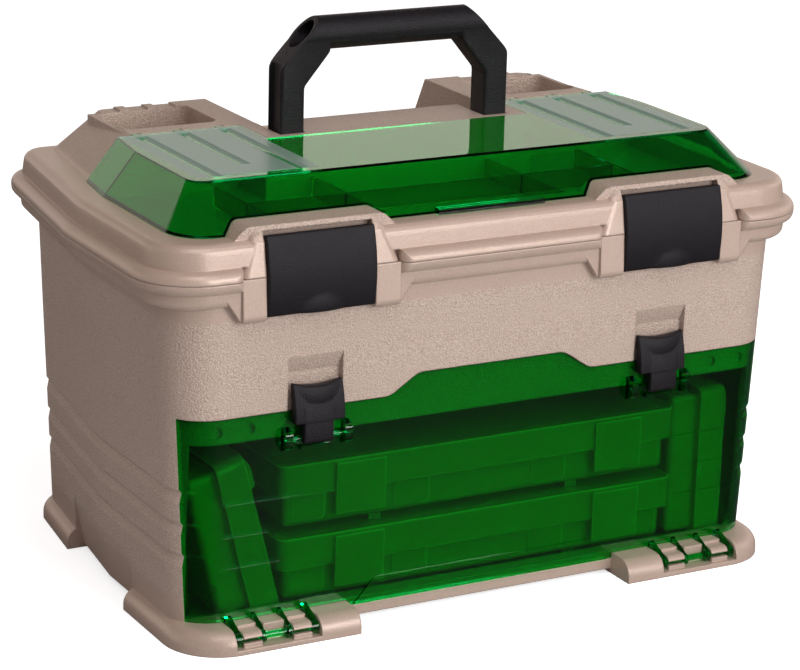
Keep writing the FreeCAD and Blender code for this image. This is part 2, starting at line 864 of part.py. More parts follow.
def door_hinge(body):
    sheet = half_depth_at("foot_top")
    sheet_low = "foot_top + door_gap"
    middle = f"-({sheet} - door_thick / 2)"
    for sign in SIDES.values():
        for low, high in tab_ranges():
            x = span(sign, low, high)
            pad(body, "YZ", *x, ("-hinge_axis_front", "hinge_axis_height", "tab_ring"))
            pad(body, "YZ", *x, [
                ("-hinge_axis_front", "hinge_axis_height"),
                (f"-({sheet} + tab_ring / 2)", f"{sheet_low} - tab_ring / 2"),
                (middle, sheet_low),
                (middle, f"{sheet_low} + tab_ring"),
                ("-hinge_axis_front", "hinge_axis_height + tab_ring")])
        pad(body, "YZ", *span(sign, "rod_inner", "rod_outer"),
            ("-hinge_axis_front", "hinge_axis_height", "rod_radius"))


def door_ears(body):
    root = f"-({half_depth_at('ear_low')} - door_thick / 2)"
    for sign in SIDES.values():
        for low, high in (("ear_inner", "ear_inner + ear_thick"), ("ear_outer - ear_thick", "ear_outer")):
            pad(body, "YZ", *span(sign, low, high), [
                (root, "ear_low"), ("-ear_front", "ear_low + ear_round", "ear_round"),
                ("-ear_front", "ear_high - ear_round", "ear_round"), (root, "ear_high")])
        pocket(body, "YZ", *span(sign, "ear_inner", "ear_outer"),
               ("-latch_pin_front", "latch_pin_height", "small_pin_radius + pin_play"))
        lip_top = "latch_pin_height - lip_drop"
        pad(body, "YZ", *span(sign, "neck_inner", "neck_outer"), [
            (root, f"{lip_top} - lip_thick * 2"), ("-latch_pin_front", f"{lip_top} - lip_thick"),
            ("-latch_pin_front", lip_top), (root, lip_top)])


def make_door():
    sheet = new_body("door_sheet")
    door_sheet(sheet)
    fittings = new_body("door_fittings")
    door_arch(fittings)
    door_hinge(fittings)
    door_ears(fittings)
    build_up("door_panel", sheet, ("Fuse", fittings))


def make_door_latch(side, sign):
    body = new_node(f"door_latch_{side}")
    pad(body, "YZ", *span(sign, "cap_inner", "cap_outer"), [
        ("-latch_back", "cap_low"), ("-neck_front", "cap_low", "bulge_round / 2"),
        ("-cap_front", "cap_top", "bulge_round / 2"), ("-cap_back", "cap_top"),
        ("-cap_back", "door_top + wall"), ("-latch_back", "door_top + wall")])
    pad(body, "YZ", *span(sign, "neck_inner", "neck_outer"), [
        ("-latch_back", "latch_pin_height"), ("-latch_back", "cap_low + wall"),
        ("-neck_front", "cap_low + wall"),
        ("-neck_front", "latch_pin_height - neck_round + door_gap", "neck_round"),
        ("-latch_pin_front", "latch_pin_height - neck_round + door_gap")])
    pocket(body, "YZ", *span(sign, "neck_inner - overrun", "neck_outer + overrun"),
           ("-latch_pin_front", "latch_pin_height", "small_pin_radius + pin_play"))


# Lid


def lid_shell(body):
    low = "parting + lid_gap"
    levels = [(low, "0")]
    for rise_share, inset_share in quarter_shares:
        levels.append((f"shoulder - shoulder_round * {1 - rise_share:.6f}",
                       f"shoulder_inset + shoulder_round * {inset_share:.6f}"))
    loft(body, "Additive", [(level, band_plan(inset)) for level, inset in levels])
    bead_top = f"{low} + bead_height"
    bead = pad(body, "XY", low, bead_top, band_plan("-bead_reach"))
    fillet(body, bead, rim_edges(bead, bead_top), "bead_round")
    cut_bead(body, low, bead_top)


def brow_outline(sign, low, gap):
    """The raised brow over a latch seen from the front, grown by a gap, from a level below its ramps."""
    foot = f"shoulder + ({gap})"
    top = f"lid_bulge_top + ({gap})"
    right = [(f"lid_bulge_outer + brow_ramp + ({gap})", low),
             (f"lid_bulge_outer + brow_ramp + ({gap})", foot, "brow_ramp / 3"),
             (f"lid_bulge_outer + ({gap})", top, "brow_ramp")]
    left = [(f"lid_bulge_inner - brow_ramp - ({gap})", low),
            (f"lid_bulge_inner - brow_ramp - ({gap})", foot, "brow_ramp / 3"),
            (f"lid_bulge_inner - ({gap})", top, "brow_ramp")]
    return [(f"{sign}({x})", *rest) for x, *rest in right + left[::-1]]


def lid_bulges(body):
    for sign in SIDES.values():
        pad(body, "XZ", "-(lid_bulge_front - brow_round)", "-lid_bulge_rear", [
            (f"{sign}(lid_bulge_outer + brow_ramp)", "shoulder - brow_round"),
            (f"{sign}(lid_bulge_outer + brow_ramp)", "shoulder - shoulder_inset / 2"),
            (f"{sign}(lid_bulge_outer)", "lid_bulge_top", "brow_ramp"),
            (f"{sign}(lid_bulge_inner)", "lid_bulge_top", "brow_ramp"),
            (f"{sign}(lid_bulge_inner - brow_ramp)", "shoulder - shoulder_inset / 2"),
            (f"{sign}(lid_bulge_inner - brow_ramp)", "shoulder - brow_round")])
        sections = []
        for level, inner, outer, front in (
                ("parting + lid_gap", "bulge_inner", "bulge_outer", "bulge_front"),
                ("lid_bulge_brow", "lid_bulge_inner", "lid_bulge_outer", "lid_bulge_front"),
                ("lid_bulge_top", "lid_bulge_inner + brow_ramp / 2", "lid_bulge_outer - brow_ramp / 2",
                 "lid_bulge_front - brow_round")):
            x = span(sign, inner, outer)
            sections.append((level, [
                (x[0], f"-({front})", "brow_round"), (x[1], f"-({front})", "brow_round"),
                (x[1], "-lid_bulge_rear"), (x[0], "-lid_bulge_rear")]))
        loft(body, "Additive", sections)


def lid_hump(body):
    """The raised rear of the lid, open between its two blocks, and the bridge that holds the handle."""
    sections = []
    for level, half, rear in (("shoulder - wall", "hump_half_low", "hump_rear_low"),
                              ("hump_top", "hump_half_top", "hump_rear_top")):
        front_half = f"{half} - {narrowing('hump_front')}"
        rear_half = f"{half} - {narrowing(rear)}"
        sections.append((level, [
            (f"-({front_half})", "hump_front"), (front_half, "hump_front"),
            (rear_half, rear, "rear_round / 2"), (f"-({rear_half})", rear, "rear_round / 2")]))
    loft(body, "Additive", sections)
    pocket(body, "XY", "gap_floor", "hump_top + overrun",
           rectangle("-gap_half", "gap_half", "hump_front", "hump_rear_low + overrun"))
    pad(body, "XY", "shoulder - wall", "hump_top",
        rectangle("-bridge_half", "bridge_half", "-bridge_front", "hump_front"))


def lid_hollows(body):
    """The underside: the rim, the two rear blocks and the middle of the bridge."""
    below = "parting - overrun"
    roof = "shoulder - wall"
    pad(body, "XY", below, roof,
        plan("band_half_width - shoulder_inset - wall", "lid_inner_front",
             "band_half_depth - shoulder_inset - wall", "band_front_round - wall", "band_rear_round - wall"))
    for sign in SIDES.values():
        sections = []
        for level, half, rear in ((f"{roof} - wall", "hump_half_low", "hump_rear_low"),
                                  ("hump_top - wall", "hump_half_top", "hump_rear_top")):
            front = "tray_front - wall"
            outer_front = f"{half} - wall * 2 - {narrowing(front)}"
            outer_rear = f"{half} - wall * 2 - {narrowing(rear)}"
            back = f"{rear} - wall"
            inner = "gap_half + wall"
            corners = [(inner, front), (outer_front, front), (outer_rear, back), (inner, back)]
            sections.append((level, [(f"{sign}({x})", y) for x, y in corners]))
        loft(body, "Additive", sections)
    bridge_half = "leg_inner - handle_pin_hold - wall"
    pad(body, "XY", below, "hump_top - wall",
        rectangle(f"-({bridge_half})", bridge_half, "-(bridge_front - wall)", "hump_front - wall"))


def lid_walls(body):
    """What stands in the hollow underside: the compartment's box and the boxes of the two trays."""
    half = "compartment_half + compartment_thick"
    front = "-(compartment_front + compartment_thick)"
    pad(body, "XY", "compartment_floor", "shoulder - wall / 2", [
        (f"-({half})", front), (half, front), (half, "hump_front"), ("bridge_half", "hump_front"),
        ("bridge_half", "-bridge_front"), ("-bridge_half", "-bridge_front"), ("-bridge_half", "hump_front"),
        (f"-({half})", "hump_front")])
    for sign in SIDES.values():
        pad(body, "XY", "tray_floor - wall", "hump_top - wall / 2",
            rectangle(*span(sign, "tray_inner - wall", "tray_outer + wall"), "tray_front - wall",
                      "tray_rear + wall"))


def lid_knuckles(body):
    low = "parting + lid_gap"
    root = "band_half_depth - web_thick * 2"
    for sign in SIDES.values():
        x = span(sign, *hinge_range("lid_knuckle_half"))
        pad(body, "YZ", *x, [
            (root, low), ("lid_axis_rear + knuckle_radius", low), ("band_half_depth", "parting + web_height"),
            (root, "parting + web_height")])
        pad(body, "YZ", *x, ("lid_axis_rear", "parting", "knuckle_radius"))
        pocket(body, "YZ", *x, ("lid_axis_rear", "parting", "lid_pin_radius + pin_play"))


def lid_compartment(body):
    arm = "bridge_half + compartment_thick"
    back = "-(bridge_front + compartment_thick)"
    pad(body, "XY", "compartment_floor + compartment_thick", "hump_top + overrun", [
        ("-compartment_half", "-compartment_front"), ("compartment_half", "-compartment_front"),
        ("compartment_half", "compartment_rear"), (arm, "compartment_rear"), (arm, back), (f"-({arm})", back),
        (f"-({arm})", "compartment_rear"), ("-compartment_half", "compartment_rear")])


def lid_recesses(body):
    """Trays, latch recesses, and slots and bores for the handle and its pins."""
    outside = "-(bulge_low_front + overrun)"
    above = "hump_top + overrun"
    slot_floor = "handle_axis_height - leg_half_depth - slot_floor_gap"
    slot_front = "handle_axis_rear - leg_half_depth - slot_gap"
    slot_rear = "hump_front + overrun / 2"
    for sign in SIDES.values():
        pad(body, "XY", "tray_floor", above,
            rectangle(*span(sign, "tray_inner", "tray_outer"), "tray_front", "tray_rear", "tray_round"))
        for number in range(3):
            start = f"tray_inner + tray_dip / 2 + tray_dip * 1.5 * {number}"
            pad(body, "XY", "hump_top - tray_dip_depth", above, rectangle(
                *span(sign, start, f"{start} + tray_dip"), "tray_rear - tray_round", "hump_rear_low"))
        pad(body, "YZ", *span(sign, "recess_inner", "recess_outer"),
            rectangle(outside, "-lid_recess_back", "parting - overrun", "lid_recess_top"))
        pad(body, "YZ", *span(sign, "recess_inner - main_pin_hold", "recess_outer + main_pin_hold"),
            ("-main_pin_front", "main_pin_height", "main_pin_radius + pin_play"))
        pad(body, "YZ", *span(sign, "leg_inner - slot_gap", "leg_outer + slot_gap"), [
            (slot_front, slot_floor, "leg_half_depth"), (slot_rear, slot_floor), (slot_rear, above),
            (slot_front, above)])
        pad(body, "YZ", *span(sign, "leg_inner - handle_pin_hold", "leg_outer + handle_pin_hold"),
            ("handle_axis_rear", "handle_axis_height", "handle_pin_radius + pin_play"))


def cover_knuckle_places():
    return [f"cover_knuckle_inner + cover_knuckle_pitch * {number}" for number in range(3)]


def cover_pin_range(sign):
    places = cover_knuckle_places()
    half = "cover_knuckle_half + cover_pin_hold"
    return span(sign, f"{places[0]} - ({half})", f"{places[-1]} + {half}")


def lid_cover_hinge(body):
    reach = "cover_knuckle_radius + cover_pocket_gap"
    half = "cover_knuckle_half + cover_pocket_gap"
    for sign in SIDES.values():
        for centre in cover_knuckle_places():
            pad(body, "YZ", *span(sign, f"{centre} - ({half})", f"{centre} + {half}"),
                rectangle("cover_rear", f"cover_axis_rear + {reach}", f"cover_axis_height - ({reach})",
                          "hump_top + overrun"))
        pad(body, "YZ", *cover_pin_range(sign),
            ("cover_axis_rear", "cover_axis_height", "small_pin_radius + pin_play"))


def make_lid():
    shell = new_body("lid_shell")
    lid_shell(shell)
    blocks = new_body("lid_blocks")
    lid_hump(blocks)
    lid_bulges(blocks)
    underside = new_body("lid_underside")
    lid_hollows(underside)
    walls = new_body("lid_walls")
    lid_walls(walls)
    lid_knuckles(walls)
    recesses = new_body("lid_recesses")
    lid_compartment(recesses)
    lid_recesses(recesses)
    lid_cover_hinge(recesses)
    build_up("lid_frame", shell, ("Fuse", blocks), ("Cut", underside), ("Fuse", walls), ("Cut", recesses))


# Top cover


def cover_plan(level, inset, rear):
    """The cover's outside at a level, moved in by an inset: its slopes run from its foot to its flat top."""
    climb = f"(({level}) - shoulder) / (hump_top - shoulder)"
    half = f"cover_half_low - (cover_half_low - cover_half_top) * {climb} - ({inset})"
    front = f"-(cover_front_low - (cover_front_low - cover_front_top) * {climb} - ({inset}))"
    rear_half = f"{half} - {narrowing(rear)}"
    radius = f"cover_foot_round - (cover_foot_round - cover_top_round) * {climb} - ({inset}) / 2"
    return [(f"-({half})", front, radius), (half, front, radius), (half, "-seam_forward"),
            (rear_half, rear), (f"-({rear_half})", rear), (f"-({half})", "-seam_forward")]


def make_cover():
    body = new_body("cover_shell")
    foot = "shoulder + cover_gap"
    inner_top = "hump_top - cover_thick"
    inset = "cover_thick * 4 / 3"
    rear = "cover_rear"
    loft(body, "Additive", [(level, cover_plan(level, "0", rear)) for level in (foot, "hump_top")])
    beyond = "cover_rear + overrun"
    below = "shoulder - overrun"
    loft(body, "Subtractive", [(level, cover_plan(level, inset, beyond)) for level in (below, inner_top)])
    notch_half = "bridge_half + cover_gap"
    above = "hump_top + overrun"
    notch_front = "-(bridge_front + cover_gap)"
    pocket(body, "XY", below, above, rectangle(f"-({notch_half})", notch_half, notch_front, beyond))
    over_bulges = [brow_outline(sign, below, "cover_gap") for sign in SIDES.values()]
    pocket(body, "XZ", "-(cover_front_low + overrun)", "-(lid_bulge_rear - wall)", *over_bulges)
    cover_channels(body)
    fittings = new_body("cover_fittings")
    cover_fittings(fittings, foot)
    build_up("top_cover", body, ("Fuse", fittings))


def cover_channels(body):
    """Three round channels and a front groove pressed into each half of the cover's top."""
    places = cover_knuckle_places()
    centre_level = "hump_top + channel_radius - channel_depth"
    for sign in SIDES.values():
        for place, front in zip(places, ("panel_front", "panel_middle_front", "panel_front")):
            pocket(body, "XZ", f"-{front}", "panel_rear", (f"{sign}({place})", centre_level, "channel_radius"))
        pocket(body, "XY", "hump_top - groove_line", "hump_top + overrun",
               rectangle(*span(sign, places[0], places[-1]), "-panel_front", "-(panel_front - groove_line * 2)"))


def cover_fittings(body, foot):
    """The hinge knuckles and the finger tab."""
    for sign in SIDES.values():
        for centre in cover_knuckle_places():
            x = span(sign, f"{centre} - cover_knuckle_half", f"{centre} + cover_knuckle_half")
            pad(body, "YZ", *x, ("cover_axis_rear", "cover_axis_height", "cover_knuckle_radius"))
            pad(body, "YZ", *x, rectangle("cover_rear - wall", "cover_axis_rear", "hump_top - cover_thick",
                                          "cover_axis_height + cover_knuckle_radius"))
        pocket(body, "YZ", *cover_pin_range(sign),
               ("cover_axis_rear", "cover_axis_height", "small_pin_radius + pin_play"))
    pad(body, "YZ", "-tab_half", "tab_half", rectangle(
        "-tab_front", "-(cover_front_low - cover_thick)", foot, f"{foot} + tab_height"))


# Handle


def make_handle():
    body = new_node("handle")
    bottom = "handle_axis_height"
    front = "handle_axis_rear - leg_half_depth"
    rear = "handle_axis_rear + leg_half_depth"
    for sign in SIDES.values():
        leg = [("leg_inner", bottom), ("leg_outer", bottom), ("leg_outer", "leg_shoulder"),
               ("(leg_outer + grip_end) / 2", "grip_height"), ("grip_root", "grip_height"),
               ("grip_root", "grip_height - grip_radius"), ("leg_inner", "leg_inner_shoulder")]
        pad(body, "XZ", front, rear, [(f"{sign}({x})", z) for x, z in leg])
        pad(body, "YZ", *span(sign, "leg_inner", "leg_outer"), ("handle_axis_rear", bottom, "leg_half_depth"))
    tube_end = "leg_outer"
    pad(body, "YZ", f"-{tube_end}", tube_end, ("handle_axis_rear", "grip_height", "grip_radius"))
    top = "grip_height + grip_radius"
    beyond = "leg_outer + overrun"
    for sign in SIDES.values():
        corner = [("leg_outer", "leg_shoulder"), ("grip_end", top), ("grip_end", f"{top} + overrun"),
                  (beyond, f"{top} + overrun"), (beyond, "leg_shoulder")]
        pocket(body, "XZ", f"{front} - overrun", f"{rear} + overrun",
               [(f"{sign}({x})", z) for x, z in corner])
        pocket(body, "YZ", *span(sign, "leg_inner - overrun", beyond),
               ("handle_axis_rear", bottom, "handle_pin_radius + pin_play"))
    pocket(body, "YZ", f"-({beyond})", beyond, ("handle_axis_rear", "grip_height", "grip_bore"))


# Main latches


def make_main_latch(side, sign):
    body = new_node(f"main_latch_{side}")
    pad(body, "YZ", *span(sign, "main_inner", "main_outer"), [
        ("-(main_top_front - main_thick)", "main_top"), ("-main_top_front", "main_top", "main_thick / 2"),
        ("-main_middle_front", "main_middle"), ("-main_low_front", "main_low", "main_thick / 3"),
        ("-(main_low_front - main_thick)", "main_low"), ("-(main_middle_front - main_thick)", "main_middle")])
    pad(body, "YZ", *span(sign, "main_inner", "main_outer"),
        ("-main_pin_front", "main_pin_height", "main_knuckle"))
    for low, high in (("main_inner", "main_inner + main_flange"), ("main_outer - main_flange", "main_outer")):
        pad(body, "YZ", *span(sign, low, high), [
            ("-main_pin_front", "main_pin_height"),
            ("-(main_middle_front - main_thick / 2)", "main_middle"),
            ("-(main_low_front - main_thick / 2)", "main_low + main_flange"),
            ("-main_rib_back", "main_low + main_flange"), ("-main_flange_back", "main_middle")])
    rib = span(sign, "recess_inner + catch_margin", "recess_outer - catch_margin")
    pad(body, "YZ", *rib, rectangle("-(main_low_front - main_thick / 2)", "-main_rib_back", "main_rib_low",
                                    "main_rib_low + main_rib_height"))
    pocket(body, "YZ", *span(sign, "recess_inner - overrun", "recess_outer + overrun"),
           ("-main_pin_front", "main_pin_height", "main_pin_radius + pin_play"))


# Pins and dividers


def make_pins(side, sign):
    ends = span(sign, "hinge_centre - hinge_half", "hinge_centre + hinge_half")
    slider(f"lid_hinge_pin_{side}", "YZ", *ends, ("lid_axis_rear", "parting", "lid_pin_radius"))
    hold = "main_pin_hold - pin_play"
    slider(f"main_latch_pin_{side}", "YZ", *span(sign, f"recess_inner - ({hold})", f"recess_outer + {hold}"),
           ("-main_pin_front", "main_pin_height", "main_pin_radius"))
    slider(f"door_latch_pin_{side}", "YZ", *span(sign, "ear_inner", "ear_outer"),
           ("-latch_pin_front", "latch_pin_height", "small_pin_radius"))
    slider(f"cover_hinge_pin_{side}", "YZ", *cover_pin_range(sign),
           ("cover_axis_rear", "cover_axis_height", "small_pin_radius"))
    hold = "handle_pin_hold - pin_play"
    slider(f"handle_pin_{side}", "YZ", *span(sign, f"leg_inner - ({hold})", f"leg_outer + {hold}"),
           ("handle_axis_rear", "handle_axis_height", "handle_pin_radius"))


def make_lid_dividers():
    """Upright walls that part the compartment under the cover."""
    body = new_node("compartment_dividers")
    floor = "compartment_floor + compartment_thick + divider_gap"
    front = "-(compartment_front - divider_gap)"
    back = "-(bridge_front + compartment_thick + divider_gap)"
    pad(body, "XY", floor, "divider_top", rectangle(
        "-divider_outer", "divider_outer", "-(lid_bulge_rear / 2)", "-(lid_bulge_rear / 2) + divider"))
    for sign in SIDES.values():
        for place in ("divider_inner", "divider_outer"):
            x = span(sign, place, f"{place} + divider")
            pad(body, "XY", floor, "divider_top", rectangle(*x, front, back))


# Parts boxes


def box_rim(length, depth, inset):
    half = f"{length} / 2 - ({inset})"
    return rectangle(f"-({half})", half, inset, f"{depth} - ({inset})", f"box_round - ({inset}) / 2")


def make_box(name, length, depth, height, lid, latch_places, footed, place):
    """A box that lies flat: base with dividers, flanged lid and front latches, then set in its place."""
    base = new_node(f"{name}_base")
    rim_level = f"{height} - {lid}"
    shell = pad(base, "XY", "0", rim_level, box_rim(length, depth, "box_lip"))
    fillet(base, shell, rim_edges(shell, "0"), "box_bottom_round")
    pocket(base, "XY", "box_bottom_wall", f"{height}", box_rim(length, depth, "box_lip + box_wall"))
    if footed:
        for sign in SIDES.values():
            centre = f"{sign}{length} / 4"
            pad(base, "XY", "-box_foot", "box_wall", rectangle(
                f"{centre} - box_foot_width / 2", f"{centre} + box_foot_width / 2", "box_lip + box_round",
                f"{depth} - box_lip - box_round"))
            for low, high in (("box_panel_inner", "box_panel_middle"), ("box_panel_outer", "box_panel_end")):
                pad(base, "XZ", "box_lip - box_panel_rise", "box_lip + box_wall / 2", rectangle(
                    *span(sign, low, high), "box_bottom_round", f"{rim_level} - box_lip", "box_panel_round"))
    cover = new_node(f"{name}_lid")
    pad(cover, "XY", f"{rim_level} - box_lip + box_play", height, box_rim(length, depth, "0"))
    pocket(cover, "XY", f"{rim_level} - box_lip", f"{rim_level} + box_play",
           box_rim(length, depth, "box_lip - box_play"))
    pocket(cover, "XY", rim_level, f"{height} - box_wall", box_rim(length, depth, "box_lip + box_wall"))
    if not footed:
        brow = f"{height} + box_brow_rise"
        half = f"{length} / 2 - box_round"
        pad(cover, "YZ", f"-({half})", half, [
            ("box_play", rim_level), ("box_play", brow, "box_brow_round"), ("box_brow_reach", brow, "box_lip / 2"),
            ("box_brow_reach", f"{height} - box_wall / 2"), ("box_lip + box_wall", f"{height} - box_wall / 2"),
            ("box_lip + box_wall", rim_level)])
    bodies = [base, cover]
    for number, latch in enumerate(latch_places, start=1):
        clip = new_node(f"{name}_latch_{number}")
        top = f"{height} - box_wall"
        x = (f"{latch} - box_latch_width / 2", f"{latch} + box_latch_width / 2")
        pad(clip, "XY", f"{top} - box_latch_height", top,
            rectangle(*x, "-(box_latch_thick + box_play)", "-box_play"))
        bodies.append(clip)
    dividers = new_node(f"{name}_dividers")
    low = "box_bottom_wall + box_play"
    high = f"{rim_level} - box_divider_drop"
    inner = "box_lip + box_wall + box_play"
    for share in ("1 / 4", "1 / 2", "3 / 4"):
        x = f"{length} * ({share}) - {length} / 2"
        pad(dividers, "XY", low, high, rectangle(f"{x} - box_wall / 2", f"{x} + box_wall / 2", inner,
                                                 f"{depth} - ({inner})"))
    half = f"{length} / 2 - ({inner})"
    pad(dividers, "XY", low, high, rectangle(f"-({half})", half, f"{depth} / 2 - box_wall / 2",
                                             f"{depth} / 2 + box_wall / 2"))
    bodies.append(dividers)
    for body in bodies:
        body.Placement = place


def make_boxes():
    """Two large boxes lie one on the other, a small one stands upright and another leans."""
    front = -value("box_front")
    lower = value("room_floor_top + box_seat_gap + box_foot")
    upper = value("room_floor_top + box_seat_gap * 2 + box_foot * 2 + large_height")
    large = ("large_length", "large_depth", "large_height", "large_lid")
    latches = ("-box_latch_offset + box_lip", "box_latch_offset + box_lip")
    for name, level in (("lower_box", lower), ("upper_box", upper)):
        place = FreeCAD.Placement(FreeCAD.Vector(value("large_centre"), front, level), FreeCAD.Rotation())
        make_box(name, *large, latches, True, place)
    small = ("small_length", "small_depth", "small_height", "small_lid")
    downward = FreeCAD.Vector(0, 0, -1)
    stand = FreeCAD.Rotation(FreeCAD.Vector(0, -1, 0), downward, FreeCAD.Vector(1, 0, 0), "ZXY")
    floor = value("room_floor_top + box_seat_gap")
    middle = -value("small_box_middle")
    upright = FreeCAD.Vector(value("small_box_right"), middle, floor + value("small_depth"))
    make_box("right_box", *small, ("0",), False, FreeCAD.Placement(upright, stand))
    flange_start = value("small_height - small_lid - box_lip + box_play")
    angle = math.degrees(math.atan2(value("box_lip"), flange_start))
    lean = FreeCAD.Rotation(FreeCAD.Vector(0, -1, 0), angle)
    turn = lean * stand
    low_corner = turn.multVec(FreeCAD.Vector(0, value("small_depth - box_lip"), 0))
    corner_place = FreeCAD.Vector(-value("small_box_left"), middle, floor)
    make_box("left_box", *small, ("0",), False, FreeCAD.Placement(corner_place - low_corner, turn))


def check_and_write():
    for item in doc.Objects:
        if {"Invalid", "Error"} & set(item.State):
            raise RuntimeError(f"{item.Label}: {item.State}")
    for node in nodes:
        if node.Shape.isNull() or not node.Shape.isValid():
            raise RuntimeError(f"{node.Label}: no valid shape")
    os.makedirs("parts", exist_ok=True)
    for node in nodes:
        node.Shape.exportStep(f"parts/{node.Label}.step")


make_case()
make_door()
make_lid()
make_cover()
make_handle()
for side_name, side_sign in SIDES.items():
    make_door_latch(side_name, side_sign)
    make_main_latch(side_name, side_sign)
    make_pins(side_name, side_sign)
make_lid_dividers()
make_boxes()
doc.recompute()
check_and_write()
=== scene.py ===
import math

import bmesh
import bpy
from mathutils import Matrix, Vector


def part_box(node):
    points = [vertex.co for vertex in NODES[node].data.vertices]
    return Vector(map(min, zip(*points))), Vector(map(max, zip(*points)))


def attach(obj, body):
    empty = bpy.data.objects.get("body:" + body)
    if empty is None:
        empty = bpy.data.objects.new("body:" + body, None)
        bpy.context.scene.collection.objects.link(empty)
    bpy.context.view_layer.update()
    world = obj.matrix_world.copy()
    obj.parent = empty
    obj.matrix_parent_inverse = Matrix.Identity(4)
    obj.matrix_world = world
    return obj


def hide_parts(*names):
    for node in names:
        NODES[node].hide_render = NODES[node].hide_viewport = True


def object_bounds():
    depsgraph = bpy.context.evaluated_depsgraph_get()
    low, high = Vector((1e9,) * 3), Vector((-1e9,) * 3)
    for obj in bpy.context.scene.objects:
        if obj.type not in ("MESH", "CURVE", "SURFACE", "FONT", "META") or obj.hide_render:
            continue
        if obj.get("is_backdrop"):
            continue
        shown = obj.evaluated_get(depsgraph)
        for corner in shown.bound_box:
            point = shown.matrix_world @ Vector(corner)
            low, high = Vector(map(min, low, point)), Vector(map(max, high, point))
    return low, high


bl_info = {
    "name": "Tackle cabinet looks",
    "version": (1, 0, 0),
    "blender": (4, 5, 0),
    "location": "View3D > Sidebar > Cabinet",
    "description": "Finishes the moulded tackle cabinet and sets up its studio",
    "category": "Object",
}

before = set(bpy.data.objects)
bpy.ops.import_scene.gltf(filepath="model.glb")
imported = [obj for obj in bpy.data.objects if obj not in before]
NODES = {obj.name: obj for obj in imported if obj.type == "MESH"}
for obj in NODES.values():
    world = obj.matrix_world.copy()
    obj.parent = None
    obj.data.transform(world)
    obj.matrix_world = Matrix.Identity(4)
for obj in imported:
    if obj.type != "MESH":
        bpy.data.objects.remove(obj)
CAD_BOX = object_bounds()
MM = 0.001
SIDES = {"left": -1, "right": 1}

SHELL_NODES = ("case_body", "lid_frame")
COVER_NODES = ("top_cover",)
DOOR_NODES = ("door_panel", "door_latch_pin_left", "door_latch_pin_right", "compartment_dividers")
BOX_NODES = tuple(name for name in NODES if "_box_" in name)
PIN_NODES = tuple(
    name for name in NODES if name.endswith(("_pin_left", "_pin_right")) and name not in DOOR_NODES)


def mm(*points):
    """Points given in millimetres, in metres."""
    return tuple(tuple(part * MM for part in point) for point in points)


# Places on the cabinet that its finishes follow

RIM_LEVELS = (204 * MM, 252 * MM)
RIM_BLUR = 2 * MM
FOOT_LEVELS = (-5 * MM, 27 * MM)
FOOT_BLUR = 3 * MM
FROST_LOW, FROST_HIGH = mm((96, -82, 276), (178, 33, 290))
FROST_BORDER = 0.5 * MM


# Settings


def colour(name, description, default):
    return bpy.props.FloatVectorProperty(
        name=name, description=description, subtype="COLOR", size=3, default=default)


def length(name, description, default):
    return bpy.props.FloatProperty(name=name, description=description, subtype="DISTANCE", default=default)


def angle(name, description, degrees):
    return bpy.props.FloatProperty(
        name=name, description=description, subtype="ANGLE", default=math.radians(degrees))


def power(name, description, default):
    return bpy.props.FloatProperty(name=name, description=description, subtype="POWER", default=default)


class CabinetFinish(bpy.types.PropertyGroup):
    """Colours and grain of the cabinet's plastics."""

    shell: colour("Shell", "Champagne plastic of the case and the lid", (0.47, 0.345, 0.285))
    # Darker tone of the shell's flow marks, and of the painted shade in the grain's pits
    flow_mark_and_pit_shade: colour("Shell shade", "The shell's darker flow marks", (0.33, 0.232, 0.185))
    # Painted glints: the metal flakes' sparkle painted as lighter specks in the colour
    flake_glint: colour("Flake", "Metal flakes in the shell's plastic", (0.80, 0.70, 0.63))
    clear_green: colour("Clear green", "Tint of the see-through door and dividers", (0.0008, 0.58, 0.13))
    cover_green: colour("Cover green", "Tint of the thinner top cover", (0.0008, 0.66, 0.14))
    frost: colour("Frost", "Frosted panels on the cover", (0.30, 0.42, 0.38))
    box_green: colour("Box green", "Tint of the parts boxes", (0.01, 0.5, 0.17))
    # Painted highlight along the parts boxes' edges
    box_edge_highlight: colour("Box edge", "Edges of the parts boxes, which gather light", (0.16, 1.0, 0.42))
    charcoal: colour("Charcoal", "Latches and handle", (0.0075, 0.0052, 0.0078))
    # Painted highlight along the edges of the latches and the handle
    charcoal_edge_highlight: colour("Rubbed charcoal", "Edges of the latches and the handle", (0.04, 0.036, 0.039))
    steel: colour("Steel", "Hinge pins", (0.45, 0.44, 0.43))
    dull_steel: colour("Dull steel", "Drawing marks on the hinge pins", (0.2, 0.2, 0.2))
    grain: length("Grain", "Width of one pebble of the shell's grain", 1.2 * MM)
    fine_grain: length("Fine grain", "Width of one grain of the latches and the handle", 0.8 * MM)


class CabinetFittings(bpy.types.PropertyGroup):
    """Sizes of the latches and the handle."""

    plate_wall: length("Plate wall", "Thickness of the main latches' plates", 2.8 * MM)
    plate_bow: length("Plate bow", "How far the main latches bow forward between their ends", 3.6 * MM)
    plate_lip: length("Plate lip", "How far the main latches' finger lips stand off", 2.4 * MM)
    tab_lip: length("Tab lip", "How far the door latches' thumb lips stand off", 2.6 * MM)
    tab_curve: length("Tab curve", "How far the door latches bend back at their top", 5.2 * MM)
    tab_dip: length("Tab dip", "How far the door latches' top edge dips in its middle", 2.2 * MM)
    leg_width: length("Leg width", "The handle's legs, from front to back", 20 * MM)
    leg_edge: length("Leg edge", "Rounding of the handle's legs", 2.6 * MM)
    grip_radius: length("Grip radius", "Outside of the handle's grip", 10.75 * MM)
    bore_radius: length("Bore radius", "Hollow of the handle's grip", 8 * MM)


